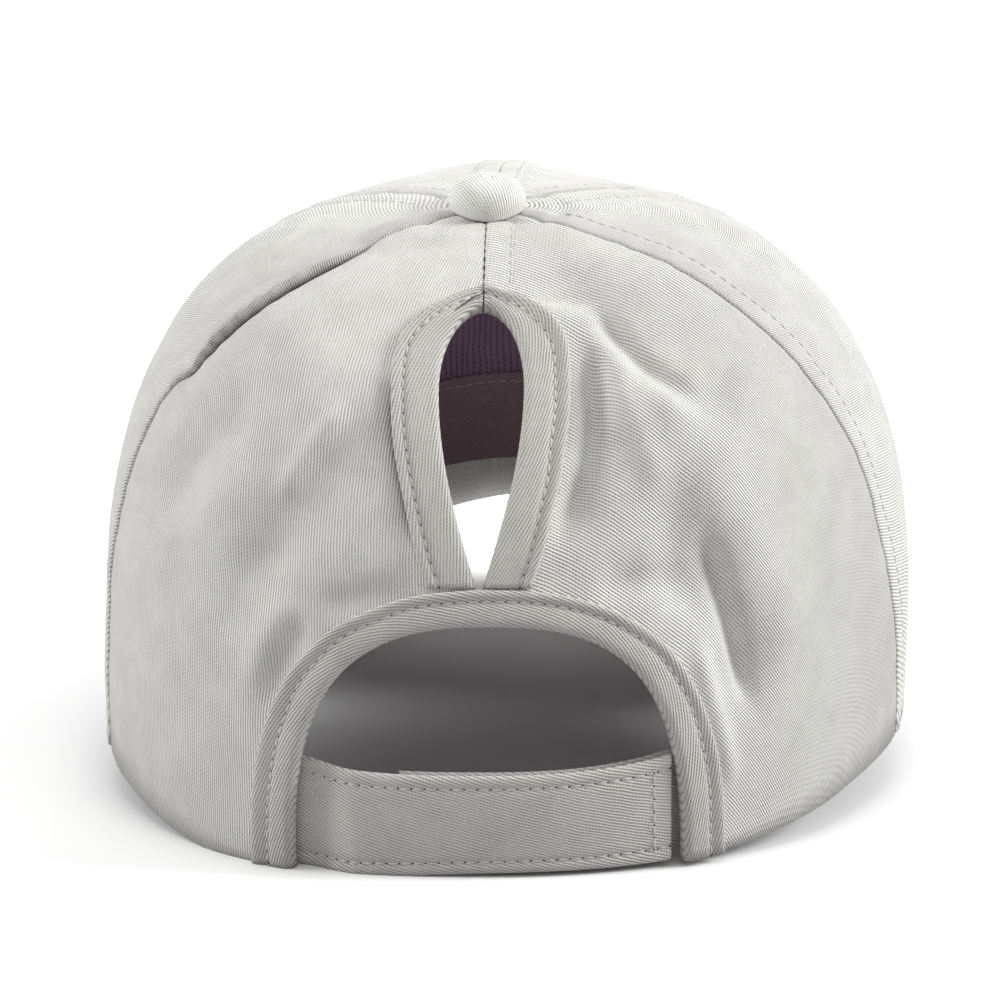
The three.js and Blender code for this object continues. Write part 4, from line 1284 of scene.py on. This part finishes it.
floor_mesh = bpy.data.meshes.new("floor")
FLOOR_REACH = 4
corners = [(FLOOR_REACH * x, FLOOR_REACH * y, 0) for x, y in ((-1, -1), (1, -1), (1, 1), (-1, 1))]
floor_mesh.from_pydata(corners, [], [(0, 1, 2, 3)])
floor = new_object("floor", floor_mesh)
floor_material, floor_nodes, floor_shader = new_material("white_floor")
seen = floor_nodes.add("ShaderNodeLightPath").outputs["Is Camera Ray"]
under_brim = floor_nodes.add("ShaderNodeVectorMath", operation="DISTANCE")
floor_nodes.plug(floor_nodes.add("ShaderNodeTexCoord").outputs["Object"], under_brim.inputs[0])
floor_nodes.plug((0.0, 0.08, 0.0), under_brim.inputs[1])
past_brim = floor_nodes.span(under_brim.outputs["Value"], 0.07, 0.13)
bounce = floor_nodes.mix(past_brim, (0.9, 0.9, 0.9), (0.42, 0.42, 0.42))
floor_nodes.plug(floor_nodes.mix(seen, bounce, (0.98, 0.98, 0.98)), floor_shader.inputs["Base Color"])
set_inputs(floor_shader, roughness=1, specular_ior_level=0)
floor_mesh.materials.append(floor_material)

WHITE = (1, 1, 1, 1)
world = bpy.data.worlds.new("studio")
bpy.context.scene.world = world
world.use_nodes = True
world_nodes = Nodes(world.node_tree)
background = world.node_tree.nodes["Background"]
set_inputs(background, color=WHITE)
heading = world_nodes.add("ShaderNodeSeparateXYZ")
world_nodes.plug(world_nodes.add("ShaderNodeTexCoord").outputs["Generated"], heading.inputs[0])
forward = world_nodes.span(heading.outputs[1], -1, 1, 0.5, 0.66)
world_nodes.plug(world_nodes.math("ADD", forward, world_nodes.span(heading.outputs[2], 0, 1, 0, 0.1)),
                 background.inputs["Strength"])
backdrop = world_nodes.add("ShaderNodeBackground")
set_inputs(backdrop, color=WHITE, strength=1.05)
choose = world_nodes.add("ShaderNodeMixShader")
world_nodes.plug(world_nodes.add("ShaderNodeLightPath").outputs["Is Camera Ray"], choose.inputs[0])
world_nodes.plug(background.outputs[0], choose.inputs[1])
world_nodes.plug(backdrop.outputs[0], choose.inputs[2])
world_nodes.plug(choose.outputs[0], world.node_tree.nodes["World Output"].inputs["Surface"])


def soft_sun(name, towards, spread, strength):
    """A wide soft light from far away, so that the floor is lit alike everywhere."""
    data = bpy.data.lights.new(name, "SUN")
    data.angle = math.radians(spread)
    data.energy = strength
    new_object(name, data).rotation_euler = Vector(towards).to_track_quat("Z", "Y").to_euler()


soft_sun("key_right", (0.85, 0.1, 0.45), 26, 2.95)
soft_sun("fill_left", (-0.9, 0.0, 0.35), 26, 1.8)
soft_sun("low_front", (0, 1, 0.16), 14, 0.8)
soft_sun("top", (0, -0.1, 1), 30, 0.5)

inner_data = bpy.data.lights.new("glow_through_cloth", "AREA")
inner_data.shape = "DISK"
inner_data.size = 0.05
inner_data.energy = 0.007
inner_data.spread = math.radians(80)
inner_data.color = (1, 0.86, 0.92)
inner_light = new_object("glow_through_cloth", inner_data)
inner_light.location = (-0.003, -0.06, 0.085)
inner_light.rotation_euler = Vector((0, -1, 0)).to_track_quat("Z", "Y").to_euler()
inner_light.visible_camera = False

CAMERA_AZIMUTH = 3.3
CAMERA_ELEVATION = 13.2
CAMERA_DISTANCE = 1.1
CAMERA_TARGET = Vector((-0.00186, -0.0377, 0.0576))
CAMERA_LENS = 181

turn, tilt = math.radians(CAMERA_AZIMUTH), math.radians(CAMERA_ELEVATION)
back = Vector((math.sin(turn) * math.cos(tilt), -math.cos(turn) * math.cos(tilt), math.sin(tilt)))
camera_data = bpy.data.cameras.new("camera")
camera_data.lens = CAMERA_LENS
camera_data.sensor_width = 36
camera = new_object("camera", camera_data)
camera.location = CAMERA_TARGET + back * CAMERA_DISTANCE
camera.rotation_euler = (-back).to_track_quat("-Z", "Y").to_euler()
bpy.context.scene.camera = camera
bpy.context.scene.view_settings.view_transform = "Standard"

bpy.context.view_layer.update()
